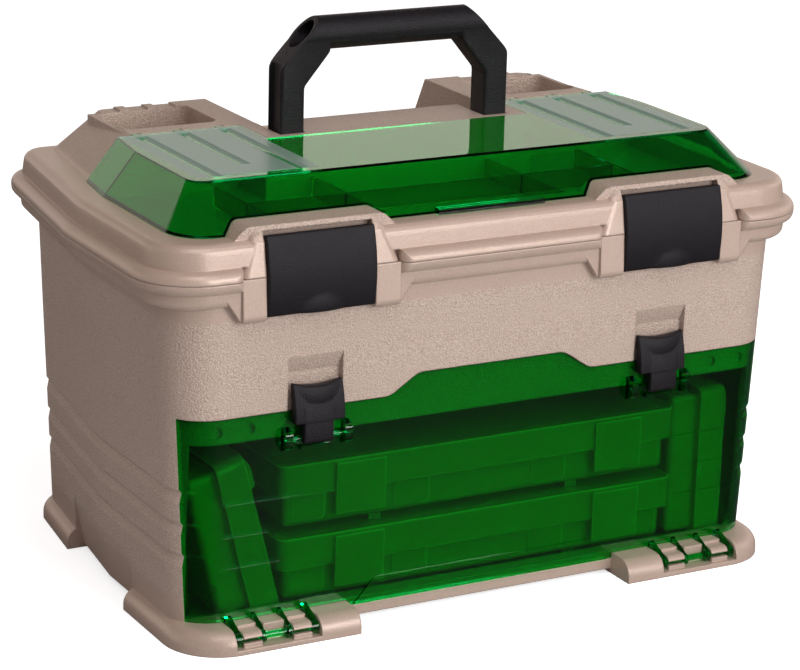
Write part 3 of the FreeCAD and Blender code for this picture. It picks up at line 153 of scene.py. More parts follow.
class CabinetStudio(bpy.types.PropertyGroup):
    """Camera and light."""

    azimuth: angle("Azimuth", "Turn of the camera round the cabinet", -29.02)
    elevation: angle("Elevation", "Height angle of the camera", 17.03)
    roll: angle("Roll", "Tilt of the picture", 1.60)
    distance: length("Distance", "Camera to the aim point", 1.9386)
    aim: bpy.props.FloatVectorProperty(
        name="Aim", description="Point in the middle of the picture", subtype="TRANSLATION", size=3,
        default=(6.76 * MM, 0, 135.74 * MM))
    focal_pixels: bpy.props.FloatProperty(
        name="Focal length", description="Focal length in pixels of an 800 wide picture", default=2969.7)
    floor: colour("Floor", "Colour of the floor", (0.85, 0.9, 0.95))
    ambient: bpy.props.FloatProperty(
        name="Ambient", description="Strength of the light from all round", default=0.45)
    ambient_tint: colour("Ambient tint", "Colour of the light from all round", (1.0, 0.89, 0.82))
    key_power: power("Key", "Power of the large lamp in front", 33)
    top_power: power("Top", "Power of the lamp above the front", 9)
    side_power: power("Side", "Power of the lamp on the right", 3)


# Node helpers


def fill(tree, node, inputs):
    """Sets a node's inputs to values, or joins them to other nodes' outputs."""
    for key, content in inputs.items():
        socket = node.inputs[key]
        if isinstance(content, bpy.types.NodeSocket):
            tree.links.new(content, socket)
        else:
            socket.default_value = content


def new_node(tree, kind, inputs=(), **settings):
    node = tree.nodes.new("ShaderNode" + kind)
    for name, setting in settings.items():
        setattr(node, name, setting)
    fill(tree, node, dict(inputs))
    return node


def calculate(tree, operation, *values):
    return new_node(tree, "Math", enumerate(values), operation=operation).outputs[0]


def remap(tree, value, start=(0.0, 1.0), end=(0.0, 1.0), **settings):
    """A value carried from one range to another, and kept inside it."""
    ranges = {"From Min": start[0], "From Max": start[1], "To Min": end[0], "To Max": end[1]}
    return new_node(tree, "MapRange", {"Value": value, **ranges}, **settings).outputs[0]


def opaque(tone):
    return (*tone, 1.0)


def blend_colours(tree, share, first, second):
    """The first colour turning into the second; each is a socket or three numbers."""
    tones = [tone if isinstance(tone, bpy.types.NodeSocket) else opaque(tone) for tone in (first, second)]
    return new_node(tree, "Mix", {0: share, 6: tones[0], 7: tones[1]}, data_type="RGBA").outputs[2]


def blend_numbers(tree, share, first, second):
    return new_node(tree, "Mix", {0: share, 2: first, 3: second}, data_type="FLOAT").outputs[0]


def relief(tree, height, depth, strength, **normal):
    """The surface's normal with the height as a bump; Normal gives the normal under it."""
    inputs = {"Strength": strength, "Distance": depth, "Height": height, **normal}
    return new_node(tree, "Bump", inputs).outputs[0]


def noise(tree, place, scale, detail, **more):
    return new_node(tree, "TexNoise", {"Vector": place, "Scale": scale, "Detail": detail, **more})


def object_place(tree):
    return new_node(tree, "TexCoord").outputs["Object"]


def new_group(name, inputs, outputs):
    """An empty shader group with named sockets: inputs as (name, kind, default), outputs as (name, kind)."""
    tree = bpy.data.node_groups.new(name, "ShaderNodeTree")
    for label, kind, default in inputs:
        socket = tree.interface.new_socket(name=label, in_out="INPUT", socket_type="NodeSocket" + kind)
        if default is not None:
            socket.default_value = default
    for label, kind in outputs:
        tree.interface.new_socket(name=label, in_out="OUTPUT", socket_type="NodeSocket" + kind)
    return tree, tree.nodes.new("NodeGroupInput").outputs, tree.nodes.new("NodeGroupOutput")


def use_group(tree, name, inputs):
    """The outputs of a shader group placed in a material."""
    return new_node(tree, "Group", inputs, node_tree=bpy.data.node_groups[name]).outputs


def new_material(name):
    """A material with only a Principled BSDF and its output."""
    material = bpy.data.materials.new(name)
    material.use_nodes = True
    tree = material.node_tree
    tree.nodes.clear()
    shader = new_node(tree, "BsdfPrincipled")
    new_node(tree, "OutputMaterial", {"Surface": shader.outputs["BSDF"]})
    return material, tree, shader


def let_lamps_through(tree, shader, tint):
    """Mixes in a tinted Transparent shader for the lamps' rays, so that they reach what is behind."""
    rays = new_node(tree, "LightPath").outputs
    open_side = new_node(tree, "BsdfTransparent", {"Color": opaque(tint)}).outputs[0]
    mix = new_node(tree, "MixShader", {0: rays["Is Shadow Ray"], 1: shader.outputs["BSDF"], 2: open_side})
    output = next(node for node in tree.nodes if node.type == "OUTPUT_MATERIAL")
    fill(tree, output, {"Surface": mix.outputs[0]})


def give(material, names):
    for name in names:
        mesh = NODES[name].data
        mesh.materials.clear()
        mesh.materials.append(material)


# Shader groups


def pebble_grain_group():
    """Moulded grain: rounded pebbles of uneven size, with a fine tooth on top."""
    tree, start, end = new_group(
        "pebble_grain",
        [("Place", "Vector", None), ("Pebble", "Float", 1.5 * MM), ("Tooth", "Float", 0.3)],
        [("Height", "Float"), ("Hollows", "Float")])
    place, pebble = start["Place"], start["Pebble"]
    scale = calculate(tree, "DIVIDE", 1.0, pebble)
    warp = noise(tree, place, scale, 2.0).outputs["Color"]
    spread = new_node(tree, "VectorMath", {0: warp, 1: (0.5, 0.5, 0.5)}, operation="SUBTRACT").outputs[0]
    shift = new_node(tree, "VectorMath", {0: spread, "Scale": pebble}, operation="SCALE").outputs[0]
    moved = new_node(tree, "VectorMath", {0: place, 1: shift}, operation="ADD").outputs[0]
    cells = new_node(
        tree, "TexVoronoi", {"Vector": moved, "Scale": scale, "Smoothness": 0.6}, feature="SMOOTH_F1")
    pebbles = remap(tree, cells.outputs["Distance"], (0.1, 0.75), (1.0, 0.0), interpolation_type="SMOOTHSTEP")
    tooth = noise(tree, place, calculate(tree, "MULTIPLY", scale, 4.0), 2.0).outputs["Fac"]
    fill(tree, end, {
        "Height": calculate(tree, "MULTIPLY_ADD", tooth, start["Tooth"], pebbles),
        "Hollows": calculate(tree, "SUBTRACT", 1.0, pebbles)})


def soft_edge_group():
    """Rounded edges for the light to run along, and a mask of the edges, used for painted edge highlights on
    the boxes and the charcoal pieces.
    """
    tree, start, end = new_group(
        "soft_edge", [("Radius", "Float", 1.0 * MM)], [("Normal", "Vector"), ("Edge", "Float")])
    rounded = new_node(tree, "Bevel", {"Radius": start["Radius"]}, samples=6).outputs[0]
    plain = new_node(tree, "NewGeometry").outputs["Normal"]
    match = new_node(tree, "VectorMath", {0: rounded, 1: plain}, operation="DOT_PRODUCT").outputs["Value"]
    fill(tree, end, {"Normal": rounded, "Edge": remap(tree, match, (0.995, 0.85))})


def flow_marks_group():
    """Faint clouds where the plastic flowed in the mould, and fine specks, used for the shell's painted flake
    glints.
    """
    tree, start, end = new_group(
        "flow_marks", [("Place", "Vector", None), ("Size", "Float", 50 * MM)],
        [("Cloud", "Float"), ("Speck", "Float")])
    scale = calculate(tree, "DIVIDE", 1.0, start["Size"])
    cloud = noise(tree, start["Place"], scale, 4.0, Roughness=0.6, Distortion=0.8)
    speck = noise(tree, start["Place"], 1500.0, 1.5)
    fill(tree, end, {
        "Cloud": cloud.outputs["Fac"],
        "Speck": remap(tree, speck.outputs["Fac"], (0.36, 0.64))})


def level_mask(tree, place, levels, blur):
    """One between two levels along Z, fading to nothing over the blur."""
    low, high = levels
    height = new_node(tree, "SeparateXYZ", {0: place}).outputs["Z"]
    above = remap(tree, height, (low - blur, low))
    below = remap(tree, height, (high + blur, high))
    return calculate(tree, "MULTIPLY", above, below)


def frost_mask(tree, place):
    """One on the cover's frosted panels, which mirror each other, fading inside their border."""
    across, along, up = new_node(tree, "SeparateXYZ", {0: place}).outputs
    frosted = 1.0
    for axis, low, high in zip((calculate(tree, "ABSOLUTE", across), along, up), FROST_LOW, FROST_HIGH):
        half = (high - low) / 2
        apart = calculate(tree, "ABSOLUTE", calculate(tree, "SUBTRACT", axis, (low + high) / 2))
        frosted = calculate(tree, "MULTIPLY", remap(tree, apart, (half, half - FROST_BORDER)), frosted)
    return frosted


# Finishes of the moulded pieces


class FinishShell(bpy.types.Operator):
    """Champagne metallic plastic with a pebble grain, smoother along the rim and the feet, with painted shade
    in the grain's pits and painted glints on its flakes.
    """

    bl_idname = "cabinet.finish_shell"
    bl_label = "Finish shell"

    def execute(self, context):
        finish = context.scene.cabinet_finish
        material, tree, shader = new_material("champagne_shell")
        place = object_place(tree)
        grain = use_group(tree, "pebble_grain", {"Place": place, "Pebble": finish.grain, "Tooth": 0.5})
        marks = use_group(tree, "flow_marks", {"Place": place, "Size": 60 * MM})
        edge = use_group(tree, "soft_edge", {"Radius": 1.4 * MM})
        smooth_rim = level_mask(tree, place, RIM_LEVELS, RIM_BLUR)
        smooth_foot = level_mask(tree, place, FOOT_LEVELS, FOOT_BLUR)
        grained = calculate(tree, "SUBTRACT", 1.0, calculate(tree, "MAXIMUM", smooth_rim, smooth_foot))

        cloud = remap(tree, marks["Cloud"], end=(0.0, 0.4))
        clouded = blend_colours(tree, cloud, finish.shell, finish.flow_mark_and_pit_shade)
        # Painted shade: the grain's hollows are darkened towards the shade tone
        painted_pit_shade = calculate(tree, "MULTIPLY", calculate(tree, "MULTIPLY", grain["Hollows"], grained), 0.5)
        pit_shaded = blend_colours(tree, painted_pit_shade, clouded, finish.flow_mark_and_pit_shade)
        # Painted glints of the metal flakes, fewer on the smooth rim and feet
        painted_flake_glints = calculate(tree, "MULTIPLY", marks["Speck"], remap(tree, grained, end=(0.12, 0.36)))
        strength = remap(tree, grained, end=(0.15, 1.0))
        fill(tree, shader, {
            "Base Color": blend_colours(tree, painted_flake_glints, pit_shaded, finish.flake_glint),
            "Roughness": remap(tree, grained, end=(0.36, 0.5)),
            "Metallic": 0.2,
            "Normal": relief(tree, grain["Height"], 0.3 * MM, strength, Normal=edge["Normal"])})
        give(material, SHELL_NODES)
        return {"FINISHED"}


def clear_plastic(name, tint):
    """Polished see-through plastic, faintly wavy."""
    material, tree, shader = new_material(name)
    marks = use_group(tree, "flow_marks", {"Place": object_place(tree), "Size": 80 * MM})
    fill(tree, shader, {
        "Base Color": opaque(tint),
        "Roughness": remap(tree, marks["Cloud"], end=(0.015, 0.05)),
        "IOR": 1.5,
        "Transmission Weight": 1.0,
        "Normal": relief(tree, marks["Cloud"], 0.4 * MM, 0.12)})
    let_lamps_through(tree, shader, tint)
    return material, tree, shader


class FinishClearGreen(bpy.types.Operator):
    """See-through green of the door, the dividers and the top cover, frosted on the cover's panels."""

    bl_idname = "cabinet.finish_clear_green"
    bl_label = "Finish clear green"

    def execute(self, context):
        finish = context.scene.cabinet_finish
        give(clear_plastic("clear_green", finish.clear_green)[0], DOOR_NODES)
        cover, tree, shader = clear_plastic("cover_green", finish.cover_green)
        polished = shader.inputs["Roughness"].links[0].from_socket
        frosted = frost_mask(tree, object_place(tree))
        fill(tree, shader, {
            "Base Color": blend_colours(tree, frosted, finish.cover_green, finish.frost),
            "Roughness": blend_numbers(tree, frosted, polished, 0.34),
            "Transmission Weight": remap(tree, frosted, end=(1.0, 0.45))})
        give(cover, COVER_NODES)
        return {"FINISHED"}


class FinishBoxes(bpy.types.Operator):
    """Milky see-through green of the parts boxes, with a painted highlight along their edges."""

    bl_idname = "cabinet.finish_boxes"
    bl_label = "Finish parts boxes"

    def execute(self, context):
        finish = context.scene.cabinet_finish
        material, tree, shader = new_material("box_green")
        place = object_place(tree)
        marks = use_group(tree, "flow_marks", {"Place": place, "Size": 50 * MM})
        edge = use_group(tree, "soft_edge", {"Radius": 2.2 * MM})
        grain = use_group(tree, "pebble_grain", {"Place": place, "Pebble": 0.9 * MM, "Tooth": 0.3})
        fill(tree, shader, {
            # Painted highlight: the edges are lightened towards the edge highlight colour
            "Base Color": blend_colours(tree, edge["Edge"], finish.box_green, finish.box_edge_highlight),
            "Roughness": remap(tree, marks["Cloud"], end=(0.2, 0.3)),
            "IOR": 1.5,
            "Transmission Weight": 0.5,
            "Normal": relief(tree, grain["Height"], 0.06 * MM, 0.15, Normal=edge["Normal"])})
        let_lamps_through(tree, shader, finish.box_green)
        give(material, BOX_NODES)
        return {"FINISHED"}


class FinishCharcoal(bpy.types.Operator):
    """Charcoal plastic with a fine spark-eroded texture and a painted highlight along its edges, for the
    latches and the handle.
    """

    bl_idname = "cabinet.finish_charcoal"
    bl_label = "Finish charcoal pieces"

    def execute(self, context):
        finish = context.scene.cabinet_finish
        material, tree, shader = new_material("charcoal_texture")
        grain = use_group(
            tree, "pebble_grain", {"Place": object_place(tree), "Pebble": finish.fine_grain, "Tooth": 0.6})
        edge = use_group(tree, "soft_edge", {"Radius": 1.6 * MM})
        # Painted highlight: the edges are lightened a little towards the edge highlight colour
        painted_edge_highlight = calculate(tree, "MULTIPLY", edge["Edge"], 0.25)
        fill(tree, shader, {
            "Base Color": blend_colours(tree, painted_edge_highlight, finish.charcoal, finish.charcoal_edge_highlight),
            "Roughness": remap(tree, grain["Hollows"], end=(0.38, 0.55)),
            "Specular IOR Level": 0.3,
            "Normal": relief(tree, grain["Height"], 0.14 * MM, 0.9, Normal=edge["Normal"])})
        return {"FINISHED"}


class FinishPins(bpy.types.Operator):
    """Drawn steel wire of the hinge pins."""

    bl_idname = "cabinet.finish_pins"
    bl_label = "Finish pins"

    def execute(self, context):
        finish = context.scene.cabinet_finish
        material, tree, shader = new_material("pin_steel")
        drawn = new_node(tree, "Mapping", {"Vector": object_place(tree), "Scale": (0.05, 1.0, 1.0)})
        marks = use_group(tree, "flow_marks", {"Place": drawn.outputs[0], "Size": 0.4 * MM})
        dulled = calculate(tree, "MULTIPLY", marks["Cloud"], 0.3)
        fill(tree, shader, {
            "Base Color": blend_colours(tree, dulled, finish.steel, finish.dull_steel),
            "Roughness": remap(tree, marks["Cloud"], end=(0.25, 0.45)),
            "Metallic": 1.0})
        give(material, PIN_NODES)
        return {"FINISHED"}


# Shape helpers


def new_points(result):
    return [item for item in result["geom"] if isinstance(item, bmesh.types.BMVert)]


def slab(shape, corners, way):
    """A solid from a flat outline, drawn out along a way."""
    face = shape.faces.new([shape.verts.new(corner) for corner in corners])
    far = bmesh.ops.extrude_face_region(shape, geom=[face], use_keep_orig=True)
    bmesh.ops.translate(shape, vec=way, verts=new_points(far))


def prism(shape, start, end, outline):
    """A solid between two places along X whose outline is given as (y, z)."""
    slab(shape, [(start, y, z) for y, z in outline], (end - start, 0, 0))


def rod(shape, start, end, centre, radius, segments=32):
    """A cylinder between two places along X, round a centre given as (y, z)."""
    place = Matrix.Translation(((start + end) / 2, *centre)) @ Matrix.Rotation(math.pi / 2, 4, "Y")
    bmesh.ops.create_cone(
        shape, cap_ends=True, segments=segments, radius1=radius, radius2=radius, depth=abs(end - start),
        matrix=place)


def bevel_sharp(shape, offset, least=math.radians(50), segments=3):
    """Rounds the edges that are sharper than the least angle."""
    edges = [edge for edge in shape.edges if len(edge.link_faces) == 2 and edge.calc_face_angle(0) > least]
    bmesh.ops.bevel(
        shape, geom=edges, offset=offset, affect="EDGES", segments=segments, profile=0.5, material=-1)


def face_out(shape):
    bmesh.ops.recalc_face_normals(shape, faces=shape.faces)


def lip_height(place, centre, reach, height):
    """How far a domed lip stands off the surface at a place; place, centre and reach are (across, up)."""
    across = (place[0] - centre[0]) / reach[0]
    up = (place[1] - centre[1]) / reach[1]
    return height * max(0.0, 1 - across * across - up * up)


def join(shape, other):
    """Adds another bmesh's faces to the shape, and frees the other."""
    scrap = bpy.data.meshes.new("scrap")
    other.to_mesh(scrap)
    other.free()
    shape.from_mesh(scrap)
    bpy.data.meshes.remove(scrap)


def scratch_object(name, shape):
    """A bmesh as an object, for combine to use up."""
    mesh = bpy.data.meshes.new(name)
    face_out(shape)
    shape.to_mesh(mesh)
    shape.free()
    item = bpy.data.objects.new(name, mesh)
    bpy.context.collection.objects.link(item)
    return item


def combine(base, others):
    """The base object joined with or cut by the other objects, as a bmesh; the objects go."""
    for other, operation in others:
        step = base.modifiers.new(other.name, "BOOLEAN")
        step.object = other
        step.operation = operation
        step.solver = "EXACT"
    bpy.context.view_layer.update()
    done = bpy.data.meshes.new_from_object(base.evaluated_get(bpy.context.evaluated_depsgraph_get()))
    for item in (base, *(other for other, operation in others)):
        bpy.data.objects.remove(item)
    shape = bmesh.new()
    shape.from_mesh(done)
    bpy.data.meshes.remove(done)
    return shape


def smooth_faces(shape, least=math.radians(35)):
    """Smooth faces, with the edges sharper than the least angle kept sharp."""
    face_out(shape)
    for face in shape.faces:
        face.smooth = True
    for edge in shape.edges:
        edge.smooth = len(edge.link_faces) == 2 and edge.calc_face_angle(math.pi) < least


def add_piece(name, shape, node):
    """A charcoal piece in place of a CAD node, riding the body of that name."""
    smooth_faces(shape)
    mesh = bpy.data.meshes.new(name)
    shape.to_mesh(mesh)
    shape.free()
    mesh.materials.append(bpy.data.materials["charcoal_texture"])
    piece = bpy.data.objects.new(name, mesh)
    bpy.context.collection.objects.link(piece)
    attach(piece, node)
    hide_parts(node)


# Main latches

PLATE_FOOT_Y = -138.4 * MM
PLATE_LEAN = 3.4 * MM
PLATE_EDGE = 1.0 * MM
PLATE_LIP_REACH = (14.5 * MM, 12 * MM)
LIP_OVERHANG = 1 * MM
KNUCKLE_CENTRE = (-131.5 * MM, 250 * MM)
KNUCKLE_RADIUS = 3.2 * MM
FLANGE_WALL = 2.5 * MM
FLANGE = mm((-131.5, 251), (-136, 246), (-138.6, 230), (-137.6, 210), (-134.9, 209), (-133.5, 230))
CATCH_RIB = mm((-137.5, 216), (-134.9, 216), (-134.9, 213), (-137.5, 213))
CATCH_INSET = 4 * MM


class MakeMainLatches(bpy.types.Operator):
    """Bowed latch plates with a flared finger lip, on their knuckle and side flanges."""

    bl_idname = "cabinet.make_main_latches"
    bl_label = "Make main latches"

    def execute(self, context):
        fittings = context.scene.cabinet_fittings
        for side in SIDES:
            low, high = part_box(f"main_latch_{side}")
            shape = self.bowed_plate(low, high, fittings)
            rod(shape, low.x, high.x, KNUCKLE_CENTRE, KNUCKLE_RADIUS)
            for start in (low.x, high.x - FLANGE_WALL):
                prism(shape, start, start + FLANGE_WALL, FLANGE)
            prism(shape, low.x + CATCH_INSET, high.x - CATCH_INSET, CATCH_RIB)
            add_piece(f"main_latch_{side}_plate", shape, f"main_latch_{side}")
        return {"FINISHED"}

    def bowed_plate(self, low, high, fittings):
        """A plate over the node's front that bows forward, with its lip at the middle of the foot."""
        shape = bmesh.new()
        bmesh.ops.create_grid(shape, x_segments=44, y_segments=30, size=0.5)
        middle = (low.x + high.x) / 2
        for vertex in shape.verts:
            share = vertex.co.y + 0.5
            x = middle + vertex.co.x * (high.x - low.x)
            z = low.z + share * (high.z - low.z)
            bow = 4 * fittings.plate_bow * share * (1 - share)
            lip = lip_height((x, z), (middle, low.z - LIP_OVERHANG), PLATE_LIP_REACH, fittings.plate_lip)
            vertex.co = (x, PLATE_FOOT_Y + PLATE_LEAN * share - bow - lip, z)
        plate = list(shape.faces)
        face_out(shape)
        if plate[0].normal.y > 0:
            bmesh.ops.reverse_faces(shape, faces=plate)
        bmesh.ops.solidify(shape, geom=plate, thickness=fittings.plate_wall)
        face_out(shape)
        bevel_sharp(shape, PLATE_EDGE)
        return shape


# Door latches

TAB_FOOT_Z = 136 * MM
TAB_FOOT_Y = -137.3 * MM
TAB_LIP_REACH = (14.5 * MM, 12.5 * MM)
TAB_SEAT_Z = 150 * MM
TAB_BACK_BELOW_SEAT = -130.4 * MM
TAB_BACK_ABOVE_SEAT = -129.2 * MM
NECK_ENDS = (112.5 * MM, 132 * MM)
NECK = mm((-130.4, 126), (-130.4, 150), (-134, 150), (-137.45, 144), (-137.45, 124.5), (-135.9, 122.8),
          (-133, 122.8))
SMALL_LATCH_EDGE = 0.8 * MM


class MakeDoorLatches(bpy.types.Operator):
    """Small latches with a flared thumb tab over a neck."""

    bl_idname = "cabinet.make_door_latches"
    bl_label = "Make door latches"

    def execute(self, context):
        fittings = context.scene.cabinet_fittings
        for side, sign in SIDES.items():
            low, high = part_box(f"door_latch_{side}")
            shape = self.thumb_tab(low, high, fittings)
            neck = bmesh.new()
            start, end = sorted(sign * x for x in NECK_ENDS)
            prism(neck, start, end, NECK)
            face_out(neck)
            bevel_sharp(neck, SMALL_LATCH_EDGE, least=math.radians(40))
            join(shape, neck)
            add_piece(f"door_latch_{side}_tab", shape, f"door_latch_{side}")
        return {"FINISHED"}

    def thumb_tab(self, low, high, fittings):
        """A block over the node's upper part whose front curves back to the lip at its top."""
        shape = bmesh.new()
        bmesh.ops.create_grid(shape, x_segments=40, y_segments=30, size=0.5)
        middle = (low.x + high.x) / 2
        for vertex in shape.verts:
            share = vertex.co.y + 0.5
            across = vertex.co.x * 2
            x = middle + vertex.co.x * (high.x - low.x)
            dip = share ** 4 * fittings.tab_dip * (1 - across * across)
            z = TAB_FOOT_Z + share * (high.z - TAB_FOOT_Z) - dip
            lip = lip_height((x, z), (middle, high.z - LIP_OVERHANG), TAB_LIP_REACH, fittings.tab_lip)
            vertex.co = (x, TAB_FOOT_Y + fittings.tab_curve * share ** 2 - lip, z)
        back = bmesh.ops.extrude_face_region(shape, geom=list(shape.faces), use_keep_orig=True)
        for vertex in new_points(back):
            vertex.co.y = TAB_BACK_BELOW_SEAT if vertex.co.z < TAB_SEAT_Z else TAB_BACK_ABOVE_SEAT
        face_out(shape)
        bevel_sharp(shape, SMALL_LATCH_EDGE)
        return shape


# Carrying handle

LEG = mm((65, 268), (82, 268), (82, 318), (76, 330), (62, 340), (47, 340), (47, 327.5), (65, 306))
PIVOT_SIDES = (65.01 * MM, 81.99 * MM)
PIVOT_HEIGHT = 267.5 * MM
PIVOT_RADIUS = 10 * MM
PIVOT_EDGE = 1.5 * MM
MOUTH_CUT = mm((82.3, 318), (53, 349.3), (53, 360), (100, 360), (100, 318))
MOUTH_CUT_WIDTH = 60 * MM
CHANNEL_SIZE = (5 * MM, 14 * MM, 80 * MM)
CHANNEL_HEIGHT = 302 * MM
CHANNEL_EDGE = 1.2 * MM
BORE_REACH = 90 * MM


class MakeHandle(bpy.types.Operator):
    """Carrying handle: two legs with rounded edges and a hollow grip with slanted mouths."""

    bl_idname = "cabinet.make_handle"
    bl_label = "Make handle"

    def execute(self, context):
        fittings = context.scene.cabinet_fittings
        low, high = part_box("handle")
        grip_centre = (high.y - fittings.grip_radius, high.z - fittings.grip_radius)
        middle = grip_centre[0]
        steps = []
        for sign in SIDES.values():
            steps.append((self.leg(sign, middle, fittings), "UNION"))
            steps.append((self.pivot_end(sign, middle), "UNION"))
        bore = bmesh.new()
        rod(bore, -BORE_REACH, BORE_REACH, grip_centre, fittings.bore_radius, segments=64)
        steps.append((scratch_object("bore", bore), "DIFFERENCE"))
        for sign in SIDES.values():
            steps.append((self.mouth_cut(sign, middle), "DIFFERENCE"))
            steps.append((self.channel(sign, middle, high.x), "DIFFERENCE"))
        grip = bmesh.new()
        rod(grip, low.x, high.x, grip_centre, fittings.grip_radius, segments=64)
        add_piece("carrying_handle", combine(scratch_object("grip", grip), steps), "handle")
        return {"FINISHED"}

    def leg(self, sign, middle, fittings):
        """A leg with its bend into the grip."""
        shape = bmesh.new()
        front = middle - fittings.leg_width / 2
        slab(shape, [(sign * x, front, z) for x, z in LEG], (0, fittings.leg_width, 0))
        face_out(shape)
        bevel_sharp(shape, fittings.leg_edge, least=math.radians(20), segments=4)
        return scratch_object("leg", shape)

    def pivot_end(self, sign, middle):
        """The round end of a leg, about its pivot."""
        shape = bmesh.new()
        near, far = (sign * x for x in PIVOT_SIDES)
        rod(shape, near, far, (middle, PIVOT_HEIGHT), PIVOT_RADIUS, segments=48)
        bevel_sharp(shape, PIVOT_EDGE)
        return scratch_object("pivot_end", shape)

    def mouth_cut(self, sign, middle):
        """The wedge that slants the grip's mouth."""
        shape = bmesh.new()
        front = middle - MOUTH_CUT_WIDTH / 2
        slab(shape, [(sign * x, front, z) for x, z in MOUTH_CUT], (0, MOUTH_CUT_WIDTH, 0))
        return scratch_object("mouth_cut", shape)

    def channel(self, sign, middle, side):
        """The channel down the outside of a leg."""
        shape = bmesh.new()
        bmesh.ops.create_cube(shape, size=1.0)
        bmesh.ops.scale(shape, vec=CHANNEL_SIZE, verts=shape.verts)
        bmesh.ops.translate(shape, vec=(sign * side, middle, CHANNEL_HEIGHT), verts=shape.verts)
        bevel_sharp(shape, CHANNEL_EDGE)
        return scratch_object("channel", shape)


# Studio

PHOTO_WIDTH = 800
SENSOR_WIDTH = 36
WHITE = (1.0, 1.0, 1.0)
FLOOR_REACH = 4.0
FLOOR_GLOW = 0.66
FLOOR_MIRRORED = 0.03
FLOOR_MIRROR_TONE = (0.015, 0.015, 0.015)
BACKDROP_BEHIND = (0.05, 0.45)
BACKDROP_LOW = (0.48, 0.36)
FRONT_MIRRORED = 0.03
SEEN_THROUGH = 0.2


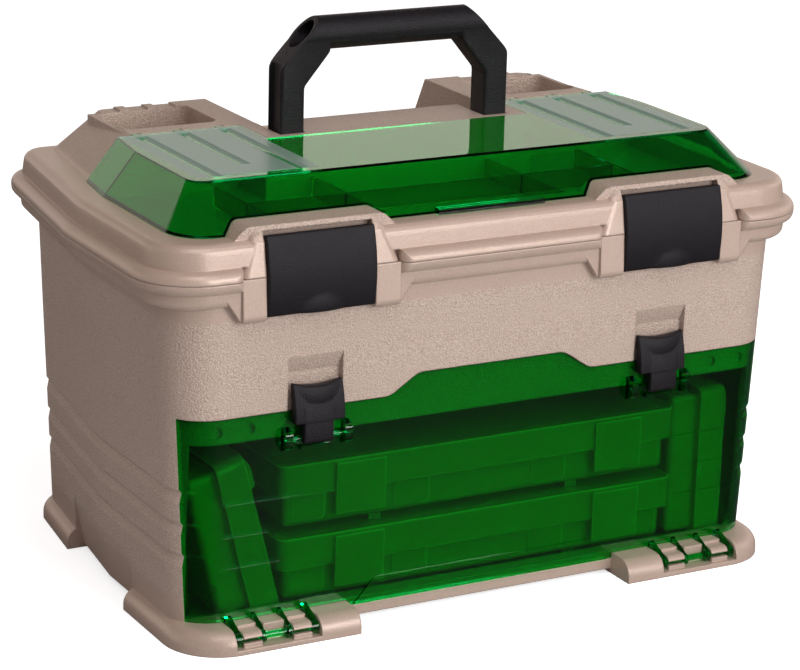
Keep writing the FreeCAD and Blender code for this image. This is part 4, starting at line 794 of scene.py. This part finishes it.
class BuildStudio(bpy.types.Operator):
    """Pale floor, white surroundings, soft lamps and the photograph's camera."""

    bl_idname = "cabinet.build_studio"
    bl_label = "Build studio"

    def execute(self, context):
        studio = context.scene.cabinet_studio
        self.lay_floor(context, studio)
        self.light_world(context, studio)
        self.place_lamps(context, studio)
        self.place_camera(context, studio)
        context.scene.view_settings.view_transform = "Standard"
        return {"FINISHED"}

    def lay_floor(self, context, studio):
        """A floor that the camera sees nearly white, and that gloss sees dark."""
        mesh = bpy.data.meshes.new("floor")
        plane = bmesh.new()
        bmesh.ops.create_grid(plane, x_segments=1, y_segments=1, size=FLOOR_REACH)
        plane.to_mesh(mesh)
        plane.free()
        floor = bpy.data.objects.new("floor", mesh)
        context.collection.objects.link(floor)
        material, tree, shader = new_material("pale_floor")
        rays = new_node(tree, "LightPath").outputs
        mirrored = calculate(tree, "MULTIPLY", rays["Is Glossy Ray"], FLOOR_MIRRORED)
        seen = calculate(tree, "MAXIMUM", rays["Is Camera Ray"], mirrored)
        fill(tree, shader, {
            "Base Color": blend_colours(tree, rays["Is Glossy Ray"], studio.floor, FLOOR_MIRROR_TONE),
            "Roughness": 0.7,
            "Specular IOR Level": 0.2,
            "Emission Color": opaque(WHITE),
            "Emission Strength": calculate(tree, "MULTIPLY", seen, FLOOR_GLOW)})
        mesh.materials.append(material)
        floor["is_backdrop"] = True

    def light_world(self, context, studio):
        """White to the camera, warm ambient light, and a pale backdrop low behind for gloss."""
        world = bpy.data.worlds.new("studio_world")
        context.scene.world = world
        world.use_nodes = True
        tree = world.node_tree
        tree.nodes.clear()
        rays = new_node(tree, "LightPath").outputs
        way = new_node(tree, "SeparateXYZ", {0: new_node(tree, "TexCoord").outputs["Generated"]}).outputs
        behind = remap(tree, way["Y"], BACKDROP_BEHIND)
        low = remap(tree, way["Z"], BACKDROP_LOW)
        mirrored = remap(tree, calculate(tree, "MULTIPLY", behind, low), end=(FRONT_MIRRORED, 1.0))
        lit = blend_numbers(tree, rays["Is Glossy Ray"], studio.ambient, mirrored)
        seen = calculate(tree, "MAXIMUM", rays["Is Camera Ray"], rays["Is Transmission Ray"])
        through = calculate(tree, "MULTIPLY_ADD", rays["Is Transmission Ray"], SEEN_THROUGH - 1, 1.0)
        background = new_node(tree, "Background", {
            "Color": blend_colours(tree, seen, studio.ambient_tint, WHITE),
            "Strength": blend_numbers(tree, seen, lit, through)})
        new_node(tree, "OutputWorld", {"Surface": background.outputs[0]})

    def place_lamps(self, context, studio):
        lamps = (
            ("key_lamp", studio.key_power, (0.55, -2.1, 0.85), 1.2),
            ("top_lamp", studio.top_power, (-0.2, -0.9, 1.7), 1.0),
            ("side_lamp", studio.side_power, (1.9, -0.3, 0.9), 0.9),
        )
        aim = Vector(studio.aim)
        for name, energy, place, size in lamps:
            light = bpy.data.lights.new(name, "AREA")
            light.energy = energy
            light.size = size
            lamp = bpy.data.objects.new(name, light)
            lamp.location = place
            lamp.rotation_euler = (aim - Vector(place)).to_track_quat("-Z", "Y").to_euler()
            context.collection.objects.link(lamp)

    def place_camera(self, context, studio):
        turn, rise = studio.azimuth, studio.elevation
        back = Vector((math.sin(turn) * math.cos(rise), -math.cos(turn) * math.cos(rise), math.sin(rise)))
        right = Vector((math.cos(turn), math.sin(turn), 0))
        up = back.cross(right)
        tilted_right = right * math.cos(studio.roll) + up * math.sin(studio.roll)
        tilted_up = up * math.cos(studio.roll) - right * math.sin(studio.roll)
        lens = bpy.data.cameras.new("photo_camera")
        lens.sensor_width = SENSOR_WIDTH
        lens.lens = studio.focal_pixels * SENSOR_WIDTH / PHOTO_WIDTH
        camera = bpy.data.objects.new("photo_camera", lens)
        place = Matrix((tilted_right, tilted_up, back)).transposed().to_4x4()
        place.translation = Vector(studio.aim) + back * studio.distance
        camera.matrix_world = place
        context.collection.objects.link(camera)
        context.scene.camera = camera


# Add-on


class CabinetPanel(bpy.types.Panel):
    """Lists the buttons for the cabinet's steps, and its settings."""

    bl_idname = "VIEW3D_PT_cabinet"
    bl_label = "Tackle cabinet"
    bl_space_type = "VIEW_3D"
    bl_region_type = "UI"
    bl_category = "Cabinet"

    def draw(self, context):
        layout = self.layout
        for operator in OPERATORS:
            layout.operator(operator.bl_idname)
        for name in SETTINGS:
            settings = getattr(context.scene, name)
            for label in settings.__annotations__:
                layout.prop(settings, label)


SETTINGS = {
    "cabinet_finish": CabinetFinish,
    "cabinet_fittings": CabinetFittings,
    "cabinet_studio": CabinetStudio,
}
OPERATORS = (FinishShell, FinishClearGreen, FinishBoxes, FinishCharcoal, FinishPins, MakeMainLatches,
             MakeDoorLatches, MakeHandle, BuildStudio)
CLASSES = (*SETTINGS.values(), *OPERATORS, CabinetPanel)


def register():
    for item in CLASSES:
        bpy.utils.register_class(item)
    for name, group in SETTINGS.items():
        setattr(bpy.types.Scene, name, bpy.props.PointerProperty(type=group))


def unregister():
    for name in SETTINGS:
        delattr(bpy.types.Scene, name)
    for item in reversed(CLASSES):
        bpy.utils.unregister_class(item)


def corners(box):
    return [list(corner) for corner in box]


def main():
    register()
    pebble_grain_group()
    soft_edge_group()
    flow_marks_group()
    bpy.ops.cabinet.finish_shell()
    bpy.ops.cabinet.finish_clear_green()
    bpy.ops.cabinet.finish_boxes()
    bpy.ops.cabinet.finish_charcoal()
    bpy.ops.cabinet.finish_pins()
    bpy.ops.cabinet.make_main_latches()
    bpy.ops.cabinet.make_door_latches()
    bpy.ops.cabinet.make_handle()
    bpy.ops.cabinet.build_studio()
    {"cad": corners(CAD_BOX), "visual": corners(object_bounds())}


if __name__ == "__main__":
    main()
